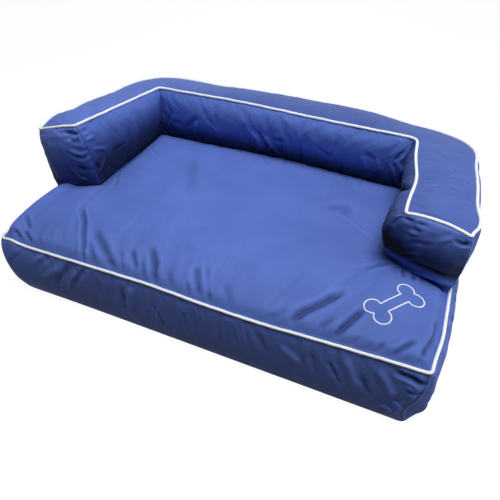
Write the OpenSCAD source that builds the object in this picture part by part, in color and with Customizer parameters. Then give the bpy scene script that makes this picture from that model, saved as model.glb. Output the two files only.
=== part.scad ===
// Dog sofa bed: a crowned base cushion with a bolster on three sides. The covers are thin sewn
// panels with white piping in the top seams, each stuffed with hollow fibre and closed by a zip
// at the back. The front faces -Y, and the bed stands on the plane z = 0.

/* [Base cushion] */
// Width of the base over its piped seam
bed_w = 900; // [700:10:1200]
// Depth of the base over its piped seam
bed_d = 590; // [500:10:800]
// Height of the piped seam above the floor
base_h = 158; // [110:1:220]
// How far the bands bulge beyond the seam
band_bulge = 14; // [4:1:20]
// How far the filling lifts the top panel close to the seam
edge_rise = 8; // [5:1:14]
// Height of the seat's crown above the level on which the bolster stands
seat_crown = 30; // [10:1:45]
// Corner radius at the front
front_corner_r = 14; // [10:1:20]
// Corner radius at the back
back_corner_r = 40; // [26:1:60]

/* [Bolster] */
// Height of the bolster's inner top seam above the base's seam
bolster_h = 166; // [110:1:220]
// How much lower the bolster's outer top seam lies
bolster_fall = 22; // [0:1:40]
// Height of the top panel's crown
top_crown = 14; // [4:1:20]
// How far the walls bulge
wall_bulge = 13; // [4:1:18]
// How far the outer top seam stands out beyond the base's seam
bolster_over = 2; // [0:1:8]
// Width of an arm's top at its front
arm_w = 106; // [80:1:150]
// Width of an arm's top at the back corner
arm_back_w = 120; // [80:1:150]
// Depth of the back's top at the corners
back_w = 116; // [80:1:150]
// How far the back's inner seam bows out in the middle
back_bow = 12; // [0:1:25]
// How far the inner walls' foot lies from the base's side seams
foot_side = 100; // [70:1:140]
// How far the inner wall's foot lies from the base's back seam
foot_back = 90; // [60:1:140]
// How far the arms' front edge stands back from the base's front seam
arm_setback = 182; // [120:1:260]
// How much further back the front edge's inner end lies
arm_skew = 14; // [0:1:40]
// How far an arm's front leans out over its foot at the outer end
lean_outer = 14; // [0:1:40]
// How far an arm's front leans out over its foot at the inner end
lean_inner = 34; // [0:1:50]
// How far an arm's front panel bulges
front_bulge = 12; // [4:1:20]
// Radius of the back corners of the outer top seam
outer_corner_r = 46; // [30:1:70]
// Radius of the inner corners of the inner top seam
inner_corner_r = 24; // [10:1:40]
// Radius of the inner corners at the foot
foot_corner_r = 8; // [4:1:20]

/* [Cover] */
// Thickness of a cover panel with its seam allowance
panel_t = 1.2; // [0.8:0.1:2]
// Radius of the piping cord in its casing
piping_r = 3.2; // [2:0.1:4]
// Clearance between pieces that lie against each other
clearance = 0.3; // [0.1:0.05:0.5]

/* [Zips] */
// How far before the round back corners the base's zip ends
base_zip_end = 40; // [30:5:150]
// How far before the inner corners the bolster's zip ends
bolster_zip_end = 16; // [12:1:100]
// Gap between the cover's edges over a zip
zip_open = 14; // [12:1:18]
// Width of one tape
tape_w = 13; // [10:1:14]
// Thickness of a tape
tape_t = 0.8; // [0.5:0.1:1]
// Distance between teeth
tooth_pitch = 8; // [6:1:12]
// Width of a row of teeth
tooth_w = 2.6; // [2:0.1:3]
// Height of the teeth above the tape
tooth_h = 1.6; // [1:0.1:2]
// Length of a slider
slider_l = 12; // [10:1:16]
// Thickness of a slider's plates and walls
slider_t = 1; // [0.8:0.1:1.2]
// Thickness of the slider's web, which runs between the rows of teeth
web_t = 0.6; // [0.4:0.1:0.8]
// Length of a pull
pull_l = 26; // [20:1:34]
// Width of a pull
pull_w = 7; // [6:0.5:7.5]
// Thickness of a pull
pull_t = 1.2; // [0.8:0.1:1.4]
// Radius of the pull's cross bar
pull_bar_r = 0.8; // [0.7:0.05:1]

/* [Hidden] */

cloth_blue = [0.27, 0.36, 0.68];
piping_white = [0.93, 0.93, 0.95];
fibre_white = [0.96, 0.96, 0.94];
tape_blue = [0.13, 0.18, 0.38];
metal_grey = [0.62, 0.63, 0.66];

hx = bed_w / 2;
hy = bed_d / 2;
base_zip_l = bed_w - 2 * (back_corner_r + base_zip_end);
bolster_zip_l = bed_w - 2 * (arm_back_w + inner_corner_r + bolster_zip_end);

// A seam's panels end this far from the centre of its piping
seam_in = piping_r + clearance;
// A filling's skin lies this far inside the outer face of its panel
fill_in = panel_t + clearance;
// The arms' fronts are slanted, so what ends behind them stands further back
front_seam_in = seam_in + 2 * clearance;
front_in = 1.5 * fill_in;
// Level on which the bolster stands
deck_z = base_h + edge_rise;
foot_z = deck_z + clearance;

// How much of the bulge a wall has at each share of its height. The middle two rows have all of
// it, so that the strip between them is flat for a zip.
bulge_shares = [[0, 0], [0.14, 0.6], [0.38, 1], [0.62, 1], [0.86, 0.6], [1, 0]];
// How much of its foot's inset the bolster's outer wall has there
inset_shares = [[0, 1], [0.14, 0.75], [0.38, 0.4], [0.62, 0.4], [0.86, 0.15], [1, 0]];
row_shares = [for (row = bulge_shares) row[0]];
row_count = len(row_shares) - 1;
strip_mid_share = 0.5;
upper_shares = [for (v = row_shares) if (v > strip_mid_share) v];
lower_shares = [for (v = row_shares) if (v < strip_mid_share) v];
// Rows of a panel, or of its upper (half 1) or lower half (-1) where a zip parts it, from the
// share of the height that half the gap takes
function rows_of(half, open_share) =
    half > 0 ? concat([strip_mid_share + open_share], upper_shares)
    : half < 0 ? concat(lower_shares, [strip_mid_share - open_share])
    : row_shares;
// The gap over a zip closes to a seam just past its ends
function gap_at(x, zip_l) = abs(x) <= zip_l / 2 + clearance / 2 ? zip_open : clearance;

// Zip chain, measured from the outer face of the cover panel at its middle
tape_face = -panel_t - clearance;
slot_half = web_t / 2 + clearance;
slider_half_w = slot_half + tooth_w + clearance + slider_t;
slider_back = tape_face - tape_t - clearance - slider_t;
slider_face = tape_face + tooth_h + clearance + slider_t;
zip_room = -slider_back + clearance;
pull_axis_h = pull_bar_r + clearance;
bail_half_l = slider_l / 3;
bail_half_w = slider_t;
bail_h = 2 * pull_axis_h + clearance;
window_half_w = bail_half_w + 3 * clearance;
window_l = norm([bail_half_l, bail_h + slider_t]) + 2 * clearance;
stop_l = slider_l / 4;
tooth_share = 0.5;
// The lower row's teeth stand opposite the upper row's gaps
lower_phase_share = 0.45;

function mix(a, b, share) = a + (b - a) * share;
function toward(from, to, distance) = from + (to - from) * (distance / norm(to - from));
function dome(share) = sqrt(max(0, 1 - pow(1 - min(1, max(0, share)), 2)));

// Closed solid with the skin of a lattice of points: cells is [along, across, up]
function lattice_id(i, j, k, cells) = (i * (cells[1] + 1) + j) * (cells[2] + 1) + k;
function halves(a, b, c, d) = [[a, b, c], [a, c, d]];
// The same two triangles seen from behind, so that nested skins fold along the same diagonals
function back_halves(a, b, c, d) = [[c, b, a], [d, c, a]];
function side_faces(cells) = [
    for (i = [0 : cells[0] - 1], j = [0 : cells[1] - 1], up = [0, 1])
        let (k = up * cells[2],
             a = lattice_id(i, j, k, cells), b = lattice_id(i, j + 1, k, cells),
             c = lattice_id(i + 1, j + 1, k, cells), d = lattice_id(i + 1, j, k, cells))
        each (up == 1 ? halves(a, b, c, d) : back_halves(a, b, c, d)),
    for (j = [0 : cells[1] - 1], k = [0 : cells[2] - 1], far = [0, 1])
        let (i = far * cells[0],
             a = lattice_id(i, j, k, cells), b = lattice_id(i, j, k + 1, cells),
             c = lattice_id(i, j + 1, k + 1, cells), d = lattice_id(i, j + 1, k, cells))
        each (far == 1 ? halves(a, b, c, d) : back_halves(a, b, c, d)),
    for (i = [0 : cells[0] - 1], k = [0 : cells[2] - 1], far = [0, 1])
        let (j = far * cells[1],
             a = lattice_id(i, j, k, cells), b = lattice_id(i + 1, j, k, cells),
             c = lattice_id(i + 1, j, k + 1, cells), d = lattice_id(i, j, k + 1, cells))
        each (far == 1 ? halves(a, b, c, d) : back_halves(a, b, c, d))
];
module lattice_solid(points, cells) {
    polyhedron(points = points, faces = side_faces(cells));
}

// Tube along a closed level path that runs anticlockwise, with mitred corners
tube_sides = 6;
module piping_tube(path) {
    n = len(path);
    points = [
        for (q = [0 : n - 1])
            let (before = path[(q + n - 1) % n], here = path[q], after = path[(q + 1) % n],
                 d1 = [here[0] - before[0], here[1] - before[1]],
                 d2 = [after[0] - here[0], after[1] - here[1]],
                 n1 = [d1[1], -d1[0]] / norm(d1), n2 = [d2[1], -d2[0]] / norm(d2),
                 out = (n1 + n2) / (1 + n1 * n2))
            for (s = [0 : tube_sides - 1])
                let (a = 360 * s / tube_sides)
                here + piping_r * [cos(a) * out[0], cos(a) * out[1], sin(a)]
    ];
    faces = [
        for (q = [0 : n - 1], s = [0 : tube_sides - 1])
            let (next = (q + 1) % n, turn = (s + 1) % tube_sides)
            each halves(q * tube_sides + s, q * tube_sides + turn,
                        next * tube_sides + turn, next * tube_sides + s)
    ];
    polyhedron(points = points, faces = faces);
}

// Base cushion. Its top is a grid whose lines follow the corners, the bolster's foot and the
// front of the arms.
foot_x = hx - foot_side;
foot_y = hy - foot_back;
seat_x = foot_x - foot_corner_r / 2;
seat_y = foot_y - foot_corner_r / 2;
arm_y = -hy + arm_setback;
arm_foot_outer = arm_y + lean_outer;
arm_foot_inner = arm_y + arm_skew + lean_inner;
seat_margin = foot_corner_r / 2;
half_columns = concat([for (share = [0, 0.32, 0.6, 0.82, 1]) share * seat_x],
                      [hx - back_corner_r, hx - front_corner_r, hx]);
column_count = 2 * (len(half_columns) - 1);
function column_x(i) =
    let (q = i - column_count / 2) (q < 0 ? -1 : 1) * half_columns[abs(q)];
front_shares = [0.22, 0.48, 0.74, 1];
middle_shares = [0.28, 0.58, 0.84, 1];
row_total = 4 + len(front_shares) + len(middle_shares);
function arm_line(x) =
    mix(arm_foot_inner, arm_foot_outer,
        min(1, max(0, (abs(x) - seat_x) / (foot_side - front_corner_r)))) - seat_margin;
function row_y(j, x) =
    let (front = -hy + front_corner_r, f = len(front_shares), m = len(middle_shares))
    j == 0 ? -hy
    : j == 1 ? front
    : j < 2 + f ? mix(front, arm_line(x), front_shares[j - 2])
    : j < 2 + f + m ? mix(arm_line(x), seat_y, middle_shares[j - 2 - f])
    : j == 2 + f + m ? hy - back_corner_r
    : j == 3 + f + m ? hy - front_corner_r
    : hy;

// A square corner of the grid is drawn in to a round one
function rounded(p) =
    let (r = p[1] > 0 ? back_corner_r : front_corner_r,
         a = abs(p[0]) - hx + r, b = abs(p[1]) - hy + r,
         shrink = a > 0 && b > 0 ? max(a, b) / norm([a, b]) : 1)
    a > 0 && b > 0
        ? [sign(p[0]) * (hx - r + a * shrink), sign(p[1]) * (hy - r + b * shrink)]
        : p;
// Grid point, with the border moved out by off, or by back_off at the back
function base_xy(i, j, off, back_off) =
    let (x = column_x(i), y = row_y(j, x),
         bx = i == 0 || i == column_count ? sign(x) * (hx + off) : x,
         by = j == 0 ? -hy - off : j == row_total ? hy + back_off : y)
    rounded([bx, by]);

// Point of the back border at x, moved out by off
function back_xy(x, off) = rounded([abs(x) == hx ? sign(x) * (hx + off) : x, hy + off]);

// The crown is round towards the seams and dies out at the bolster's foot
front_reach = 120;
side_reach = 130;
foot_reach = 110;
function seat_z(x, y) =
    let (to_edge = min(hx - abs(x), hy - abs(y)),
         to_arm = norm([max(seat_x - abs(x), 0), max(arm_line(x) - y, 0)]),
         to_back = max(seat_y - y, 0))
    base_h + edge_rise * min(1, to_edge / front_corner_r)
    + seat_crown * dome((y + hy) / front_reach) * dome((hx - abs(x)) / side_reach)
      * dome(min(to_arm, to_back) / foot_reach);

function on_border(i, j) = i == 0 || i == column_count || j == 0 || j == row_total;
// Heights of the bands' rows
band_foot = panel_t + clearance;
band_top = base_h - seam_in;
function band_z(v) = mix(band_foot, band_top, v);

module base_filling() {
    cells = [column_count, row_total, row_count];
    points = [
        for (i = [0 : column_count], j = [0 : row_total], k = [0 : row_count])
            let (border = on_border(i, j),
                 bulge = band_bulge * lookup(row_shares[k], bulge_shares),
                 off = k == row_count ? -seam_in : bulge - fill_in,
                 back_off = k == row_count ? -seam_in : bulge - zip_room,
                 p = base_xy(i, j, off, back_off),
                 z = k == row_count && !border ? seat_z(p[0], p[1]) - fill_in
                     : band_z(row_shares[k]))
            [p[0], p[1], z]
    ];
    color(fibre_white) lattice_solid(points, cells);
}

module base_top_panel() {
    cells = [column_count, row_total, 1];
    points = [
        for (i = [0 : column_count], j = [0 : row_total], k = [0, 1])
            let (p = base_xy(i, j, -seam_in, -seam_in),
                 z = on_border(i, j) ? base_h + panel_t * (k - 1 / 2)
                     : seat_z(p[0], p[1]) + panel_t * (k - 1))
            [p[0], p[1], z]
    ];
    color(cloth_blue) lattice_solid(points, cells);
}

// Bands end a little short of the corner seams
function band_point(i, j, v, inward, near_i, near_j) =
    let (off = band_bulge * lookup(v, bulge_shares) - inward,
         p = base_xy(i, j, off, off), near = base_xy(near_i, near_j, off, off),
         q = near == p ? p : toward(p, near, clearance))
    [q[0], q[1], band_z(v)];

module base_front_band() {
    cells = [column_count, 1, row_count];
    points = [
        for (i = [0 : column_count], l = [0, 1], k = [0 : row_count])
            band_point(i, 0, row_shares[k], panel_t * l,
                       i == 0 ? 1 : i == column_count ? i - 1 : i, 0)
    ];
    color(cloth_blue) lattice_solid(points, cells);
}

module base_side_band() {
    cells = [1, row_total, row_count];
    points = [
        for (l = [0, 1], j = [0 : row_total], k = [0 : row_count])
            band_point(column_count, j, row_shares[k], panel_t * (1 - l),
                       column_count, j == 0 ? 1 : j == row_total ? j - 1 : j)
    ];
    lattice_solid(points, cells);
}
module base_left_band() { color(cloth_blue) mirror([1, 0, 0]) base_side_band(); }
module base_right_band() { color(cloth_blue) base_side_band(); }

base_zip_z = band_z(strip_mid_share);

// The back band has two more columns at each end of the zip
zip_end_x = base_zip_l / 2;
back_half = [zip_end_x, zip_end_x + zip_open / 2, hx - back_corner_r, hx - front_corner_r, hx];
back_x = concat([for (q = [len(back_half) - 1 : -1 : 0]) -back_half[q]], [0], back_half);
module base_back_half(half) {
    last = len(back_x) - 1;
    rows = len(rows_of(half, 0)) - 1;
    points = [
        for (i = [0 : last], l = [0, 1], k = [0 : rows])
            let (gap = gap_at(back_x[i], base_zip_l),
                 v = rows_of(half, gap / 2 / (band_top - band_foot))[k],
                 off = band_bulge * lookup(v, bulge_shares) - panel_t * (1 - l),
                 p = back_xy(back_x[i], off),
                 near = back_xy(back_x[i == 0 ? 1 : i == last ? i - 1 : i], off),
                 q = near == p ? p : toward(p, near, clearance))
            [q[0], q[1], band_z(v)]
    ];
    lattice_solid(points, [last, 1, rows]);
}
module base_back_band_upper() { color(cloth_blue) base_back_half(1); }
module base_back_band_lower() { color(cloth_blue) base_back_half(-1); }

// Border of the grid, anticlockwise from the front left corner
function border(off) = concat(
    [for (i = [0 : column_count - 1]) base_xy(i, 0, off, off)],
    [for (j = [0 : row_total - 1]) base_xy(column_count, j, off, off)],
    [for (i = [column_count : -1 : 1]) base_xy(i, row_total, off, off)],
    [for (j = [row_total : -1 : 1]) base_xy(0, j, off, off)]
);
module base_bottom_panel() {
    color(tape_blue) linear_extrude(panel_t) polygon(border(0));
}
module base_piping() {
    color(piping_white) piping_tube([for (p = border(0)) [p[0], p[1], base_h]]);
}

// Bolster. Stations run from the middle of the back (0) round the corner to the front of the
// right arm (last_station). Negative stations are their mirror images.
back_cells = 3;
corner_cells = 6;
arm_cells = 4;
mitre = back_cells + corner_cells / 2;
last_station = back_cells + corner_cells + arm_cells;
arc_step = 90 / (corner_cells - 2);
// Distance between stations along the outer back
back_pitch = (hx - arm_back_w - inner_corner_r) / back_cells;
top_in_z = base_h + bolster_h;
top_out_z = top_in_z - bolster_fall;
outer_x = hx + bolster_over;
outer_y = hy + bolster_over;
// The outer wall's foot stands just inside the place where the base's top panel levels out
foot_inset = front_corner_r + bolster_over + 2 * panel_t;
across_shares = [0, 0.16, 0.5, 0.84, 1];
across_count = len(across_shares) - 1;

// Point of the inner wall at station h and height share v, moved away from the seat by d
function inner_xy(h, v, d, y_front) =
    let (r = mix(foot_corner_r, inner_corner_r, v), y_back = mix(foot_y, hy - back_w, v),
         x_back = mix(foot_x, hx - arm_back_w, v), x_front = mix(foot_x, hx - arm_w, v),
         cx = x_back - r, cy = y_back - r,
         t = (h - back_cells - corner_cells) / arm_cells,
         a = 90 * (1 - (h - back_cells) / corner_cells))
    h <= back_cells
        ? [cx * h / back_cells, y_back + d + back_bow * v * (1 - pow(h / back_cells, 2))]
    : h <= back_cells + corner_cells ? [cx + (r + d) * cos(a), cy + (r + d) * sin(a)]
    : [mix(x_back, x_front, t) + d, mix(cy, y_front, t)];
// Point of the outer wall, moved outwards by d
function outer_xy(h, v, d, y_front) =
    let (inset = foot_inset * lookup(v, inset_shares), r = outer_corner_r,
         cx = outer_x - r, cy = outer_y - r, out = d - inset,
         start_y = hy - back_w - inner_corner_r,
         k = h - back_cells, a = 90 - arc_step * (k - 1),
         t = (k - corner_cells) / arm_cells)
    k <= 0 ? [back_pitch * h, outer_y + out]
    : k < corner_cells ? [cx + (r + out) * cos(a), cy + (r + out) * sin(a)]
    : [outer_x + out, mix(start_y, y_front, t)];

// How far the arms' front line lies at height share v, at its inner and outer end
function front_inner(v) = arm_y + arm_skew + lean_inner * (1 - v);
function front_outer(v) = arm_y + lean_outer * (1 - v);

// A bolster point at signed station m, share u across from the inner wall to the outer one, and
// height share v, set inward from both walls, and set back from the front
function bolster_xy(m, u, v, in_inner, in_outer, set_back) =
    let (h = abs(m), share = lookup(v, bulge_shares), bulge = wall_bulge * share,
         a = inner_xy(h, v, in_inner - bulge, front_inner(v) + set_back),
         b = outer_xy(h, v, bulge - in_outer, front_outer(v) + set_back),
         puff = h == last_station ? front_bulge * share * sin(180 * u) : 0,
         p = mix(a, b, u))
    [m < 0 ? -p[0] : p[0], p[1] - puff];
function seam_z(u) = mix(top_in_z, top_out_z, u);
function wall_z(u, v) = mix(foot_z, seam_z(u) - seam_in, v);
function top_z(m, u) =
    let (fade = dome((last_station - abs(m)) / 2)) seam_z(u) + top_crown * fade * sin(180 * u);
// The same at a piece's own station q of its list, which stops a little short of a mitre
function piece_xy(marks, q, u, v, in_inner, in_outer, set_back) =
    let (last = len(marks) - 1, m = marks[q],
         near = abs(m) == last_station ? m : q == 0 ? marks[1] : q == last ? marks[q - 1] : m,
         p = bolster_xy(m, u, v, in_inner, in_outer, set_back))
    near == m ? p
        : toward(p, bolster_xy(near, u, v, in_inner, in_outer, set_back), clearance / 2);

right_marks = [for (m = [mitre : last_station]) m];
left_marks = [for (m = [-last_station : -mitre]) m];
back_marks = [for (m = [-mitre : mitre]) m];

module bolster_filling(marks) {
    cells = [len(marks) - 1, across_count, row_count];
    points = [
        for (i = [0 : cells[0]], j = [0 : across_count], k = [0 : row_count])
            let (m = marks[i], u = across_shares[j], top = k == row_count,
                 inset = top ? seam_in : fill_in,
                 room = top ? seam_in : abs(m) <= mitre ? zip_room : fill_in,
                 set_back = top ? front_seam_in : front_in,
                 p = piece_xy(marks, i, u, row_shares[k], inset, room, set_back),
                 crowned = top && j > 0 && j < across_count,
                 z = crowned ? top_z(m, u) - fill_in : wall_z(u, row_shares[k]))
            [p[0], p[1], z]
    ];
    lattice_solid(points, cells);
}
module bolster_filling_right() { color(fibre_white) bolster_filling(right_marks); }
module bolster_filling_left() { color(fibre_white) bolster_filling(left_marks); }
module bolster_filling_back() { color(fibre_white) bolster_filling(back_marks); }

module bolster_top_panel() {
    cells = [2 * last_station, across_count, 1];
    points = [
        for (m = [-last_station : last_station], j = [0 : across_count], k = [0, 1])
            let (u = across_shares[j],
                 p = bolster_xy(m, u, 1, seam_in, seam_in, front_seam_in),
                 rim = j == 0 || j == across_count || abs(m) == last_station,
                 z = rim ? seam_z(u) + panel_t * (k - 1 / 2) : top_z(m, u) + panel_t * (k - 1))
            [p[0], p[1], z]
    ];
    color(cloth_blue) lattice_solid(points, cells);
}

// Wall panel along a list of stations. u is 0 for the inner wall and 1 for the outer one.
module wall_panel(marks, u, half = 0) {
    rows = len(rows_of(half, 0)) - 1;
    points = [
        for (i = [0 : len(marks) - 1], l = [0, 1], k = [0 : rows])
            let (inward = u == 0 ? panel_t * l : panel_t * (1 - l),
                 gap = gap_at(marks[i] * back_pitch, bolster_zip_l),
                 v = rows_of(half, gap / 2 / (wall_z(1, 1) - wall_z(1, 0)))[k],
                 p = piece_xy(marks, i, u, v, inward, inward, front_in))
            [p[0], p[1], wall_z(u, v)]
    ];
    lattice_solid(points, [len(marks) - 1, 1, rows]);
}
module bolster_inner_panel_right() { color(cloth_blue) wall_panel(right_marks, 0); }
module bolster_inner_panel_left() { color(cloth_blue) wall_panel(left_marks, 0); }
module bolster_inner_panel_back() { color(cloth_blue) wall_panel(back_marks, 0); }
module bolster_outer_panel_right() { color(cloth_blue) wall_panel(right_marks, 1); }
module bolster_outer_panel_left() { color(cloth_blue) wall_panel(left_marks, 1); }
// The outer back panel has stations at the ends of its zip
bolster_zip_z = wall_z(1, strip_mid_share);
zip_mark = bolster_zip_l / 2 / back_pitch;
zip_end_mark = zip_mark + zip_open / 2 / back_pitch;
corner_marks = [for (m = [back_cells + 1 : mitre]) m];
zip_half = concat([zip_mark, zip_end_mark], corner_marks);
zip_marks = concat([for (q = [len(zip_half) - 1 : -1 : 0]) -zip_half[q]], [0], zip_half);
module bolster_back_panel_upper() { color(cloth_blue) wall_panel(zip_marks, 1, 1); }
module bolster_back_panel_lower() { color(cloth_blue) wall_panel(zip_marks, 1, -1); }

module arm_front_panel() {
    points = [
        for (l = [0, 1], j = [0 : across_count], k = [0 : row_count])
            let (u = across_shares[j], v = row_shares[k],
                 p = bolster_xy(last_station, u, v, 0, 0, panel_t * (1 - l)))
            [p[0], p[1], wall_z(u, v)]
    ];
    lattice_solid(points, [1, across_count, row_count]);
}
module arm_front_panel_right() { color(cloth_blue) arm_front_panel(); }
module arm_front_panel_left() { color(cloth_blue) mirror([1, 0, 0]) arm_front_panel(); }

// Seam of the top panel: up the outer side of the right arm, round the back, and home along
// the inner side
function seam_point(m, u) =
    let (p = bolster_xy(m, u, 1, 0, 0, 0)) [p[0], p[1], seam_z(u)];
bolster_seam = concat(
    [for (m = [last_station : -1 : -last_station]) seam_point(m, 1)],
    [for (j = [across_count - 1 : -1 : 1]) seam_point(-last_station, across_shares[j])],
    [for (m = [-last_station : last_station]) seam_point(m, 0)],
    [for (j = [1 : across_count - 1]) seam_point(last_station, across_shares[j])]
);
module bolster_piping() { color(piping_white) piping_tube(bolster_seam); }

// Zips. Each part is drawn with x along the zip, y out from the cover's face and z across.
module zip_tape(length, side) {
    z0 = side > 0 ? slot_half : -slot_half - tape_w;
    tape_l = length + zip_open;
    translate([-tape_l / 2, tape_face - tape_t, z0]) cube([tape_l, tape_t, tape_w]);
}
module zip_teeth(length, side) {
    run = length - 2 * stop_l;
    teeth = floor(run / tooth_pitch);
    root = tooth_w / 2;
    first = -teeth * tooth_pitch / 2;
    phase = side > 0 ? 0 : lower_phase_share;
    outline = concat(
        [for (q = [0 : teeth - 1], c = [[0, root], [0, 0], [tooth_share, 0], [tooth_share, root]])
            [first + (q + phase + c[0]) * tooth_pitch, c[1]]],
        [[-first, root], [-first, tooth_w], [first, tooth_w], [first, root]]
    );
    translate([0, tape_face + tooth_h, 0]) rotate([90, 0, 0]) linear_extrude(tooth_h)
        mirror([0, side > 0 ? 0 : 1]) translate([0, slot_half]) polygon(outline);
}
module zip_stops(length) {
    stop_h = tooth_h + clearance;
    for (side = [-1, 1], top = [0, 1]) {
        x0 = side > 0 ? length / 2 - stop_l : -length / 2;
        z0 = top > 0 ? slot_half : -slot_half - tooth_w;
        translate([x0, tape_face, z0]) cube([stop_l - clearance, stop_h, tooth_w]);
    }
    translate([-length / 2, tape_face, -slot_half])
        cube([stop_l - clearance, stop_h, 2 * slot_half]);
}
module zip_slider() {
    half_l = slider_l / 2;
    wall_h = slider_face - tape_face - clearance;
    // front and back plate
    translate([-half_l, slider_face - slider_t, -slider_half_w])
        cube([slider_l, slider_t, 2 * slider_half_w]);
    translate([-half_l, slider_back, -slider_half_w])
        cube([slider_l, slider_t, 2 * slider_half_w]);
    // web in the slot between the rows of teeth
    translate([-half_l, slider_back, -web_t / 2])
        cube([half_l, slider_face - slider_back, web_t]);
    // walls beside the teeth
    for (z0 = [-slider_half_w, slider_half_w - slider_t])
        translate([-half_l, tape_face + clearance, z0]) cube([slider_l, wall_h, slider_t]);
    // bail that holds the pull
    translate([0, slider_face, -bail_half_w]) linear_extrude(2 * bail_half_w) difference() {
        translate([-bail_half_l, -slider_t / 2])
            square([2 * bail_half_l, bail_h + 3 / 2 * slider_t]);
        translate([-bail_half_l + slider_t, -slider_t])
            square([2 * (bail_half_l - slider_t), bail_h + slider_t]);
    }
}
// Flat pull with a window for the bail and a round bar across its end, lying along -x
module zip_pull() {
    bar_l = 2 * window_half_w + clearance;
    hole_r = pull_w / 5;
    end_r = pull_w / 2;
    translate([0, slider_face + pull_axis_h, 0]) {
        translate([0, 0, -bar_l / 2]) cylinder(h = bar_l, r = pull_bar_r, $fn = 32);
        rotate([-90, 0, 0]) translate([0, 0, -pull_t / 2]) linear_extrude(pull_t) difference() {
            union() {
                translate([-pull_l + end_r, -pull_w / 2])
                    square([pull_l - end_r + pull_bar_r / 2, pull_w]);
                translate([-pull_l + end_r, 0]) circle(r = end_r, $fn = 32);
            }
            translate([-window_l, -window_half_w])
                square([window_l + pull_bar_r, 2 * window_half_w]);
            translate([-pull_l + end_r, 0]) circle(r = hole_r, $fn = 32);
        }
    }
}
// The closed zip's slider stands against its stops at the right-hand end
function slider_x(length) = length / 2 - stop_l - slider_l / 2 - clearance;
module at_base_zip() { translate([0, hy + band_bulge, base_zip_z]) children(); }
bolster_zip_y = outer_y - foot_inset * lookup(strip_mid_share, inset_shares) + wall_bulge;
module at_bolster_zip() { translate([0, bolster_zip_y, bolster_zip_z]) children(); }

module base_zip_tape_upper() { color(tape_blue) at_base_zip() zip_tape(base_zip_l, 1); }
module base_zip_tape_lower() { color(tape_blue) at_base_zip() zip_tape(base_zip_l, -1); }
module base_zip_teeth_upper() { color(tape_blue) at_base_zip() zip_teeth(base_zip_l, 1); }
module base_zip_teeth_lower() { color(tape_blue) at_base_zip() zip_teeth(base_zip_l, -1); }
module base_zip_stops() { color(metal_grey) at_base_zip() zip_stops(base_zip_l); }
module base_zip_slider() {
    color(metal_grey) at_base_zip() translate([slider_x(base_zip_l), 0, 0]) zip_slider();
}
module base_zip_pull() {
    color(metal_grey) at_base_zip() translate([slider_x(base_zip_l), 0, 0]) zip_pull();
}
module bolster_zip_tape_upper() {
    color(tape_blue) at_bolster_zip() zip_tape(bolster_zip_l, 1);
}
module bolster_zip_tape_lower() {
    color(tape_blue) at_bolster_zip() zip_tape(bolster_zip_l, -1);
}
module bolster_zip_teeth_upper() {
    color(tape_blue) at_bolster_zip() zip_teeth(bolster_zip_l, 1);
}
module bolster_zip_teeth_lower() {
    color(tape_blue) at_bolster_zip() zip_teeth(bolster_zip_l, -1);
}
module bolster_zip_stops() { color(metal_grey) at_bolster_zip() zip_stops(bolster_zip_l); }
module bolster_zip_slider() {
    color(metal_grey) at_bolster_zip() translate([slider_x(bolster_zip_l), 0, 0]) zip_slider();
}
module bolster_zip_pull() {
    color(metal_grey) at_bolster_zip() translate([slider_x(bolster_zip_l), 0, 0]) zip_pull();
}

base_filling();
base_top_panel();
base_front_band();
base_left_band();
base_right_band();
base_back_band_upper();
base_back_band_lower();
base_bottom_panel();
base_piping();
base_zip_tape_upper();
base_zip_tape_lower();
base_zip_teeth_upper();
base_zip_teeth_lower();
base_zip_stops();
base_zip_slider();
base_zip_pull();
bolster_filling_left();
bolster_filling_back();
bolster_filling_right();
bolster_top_panel();
bolster_inner_panel_left();
bolster_inner_panel_back();
bolster_inner_panel_right();
arm_front_panel_left();
arm_front_panel_right();
bolster_outer_panel_left();
bolster_outer_panel_right();
bolster_back_panel_upper();
bolster_back_panel_lower();
bolster_piping();
bolster_zip_tape_upper();
bolster_zip_tape_lower();
bolster_zip_teeth_upper();
bolster_zip_teeth_lower();
bolster_zip_stops();
bolster_zip_slider();
bolster_zip_pull();
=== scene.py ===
import bpy
import numpy as np
from mathutils import Matrix, Vector


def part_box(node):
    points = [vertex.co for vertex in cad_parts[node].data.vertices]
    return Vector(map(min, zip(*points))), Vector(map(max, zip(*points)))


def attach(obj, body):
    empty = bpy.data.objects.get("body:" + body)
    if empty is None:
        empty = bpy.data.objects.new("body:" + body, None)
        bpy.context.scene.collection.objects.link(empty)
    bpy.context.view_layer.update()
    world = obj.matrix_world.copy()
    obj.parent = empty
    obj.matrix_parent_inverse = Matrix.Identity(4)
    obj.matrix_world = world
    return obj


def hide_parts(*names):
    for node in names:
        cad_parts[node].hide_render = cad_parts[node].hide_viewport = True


# Dog sofa bed: cover panels of blue polyester over hollow fibre, white piping and two zips at
# the back
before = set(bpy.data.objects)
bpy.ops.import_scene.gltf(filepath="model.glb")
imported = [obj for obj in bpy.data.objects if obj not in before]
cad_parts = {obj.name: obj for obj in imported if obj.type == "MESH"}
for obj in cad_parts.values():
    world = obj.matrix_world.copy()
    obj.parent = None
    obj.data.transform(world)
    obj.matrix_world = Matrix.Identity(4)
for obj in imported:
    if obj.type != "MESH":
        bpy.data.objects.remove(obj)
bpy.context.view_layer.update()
scene = bpy.context.scene
mm = 0.001
print("frame loaded")


# Small tools for shapes

def mix(a, b, share):
    return a + (b - a) * share


def smooth(t):
    t = np.clip(t, 0, 1)
    return t * t * (3 - 2 * t)


def fadeIn(x, facts):  # 0 up to a place and 1 a reach past it; a reach below 0 looks back
    start, reach = facts
    return smooth((x - start) / reach)


def dome(t):  # quarter circle: rises steeply from 0 and levels out at 1
    return np.sqrt(1 - (1 - np.clip(t, 0, 1)) ** 2)


def swell(v, power=0.6):  # round swell over a share from 0 to 1, fuller than a sine
    return np.clip(4 * v * (1 - v), 0, 1) ** power


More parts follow.
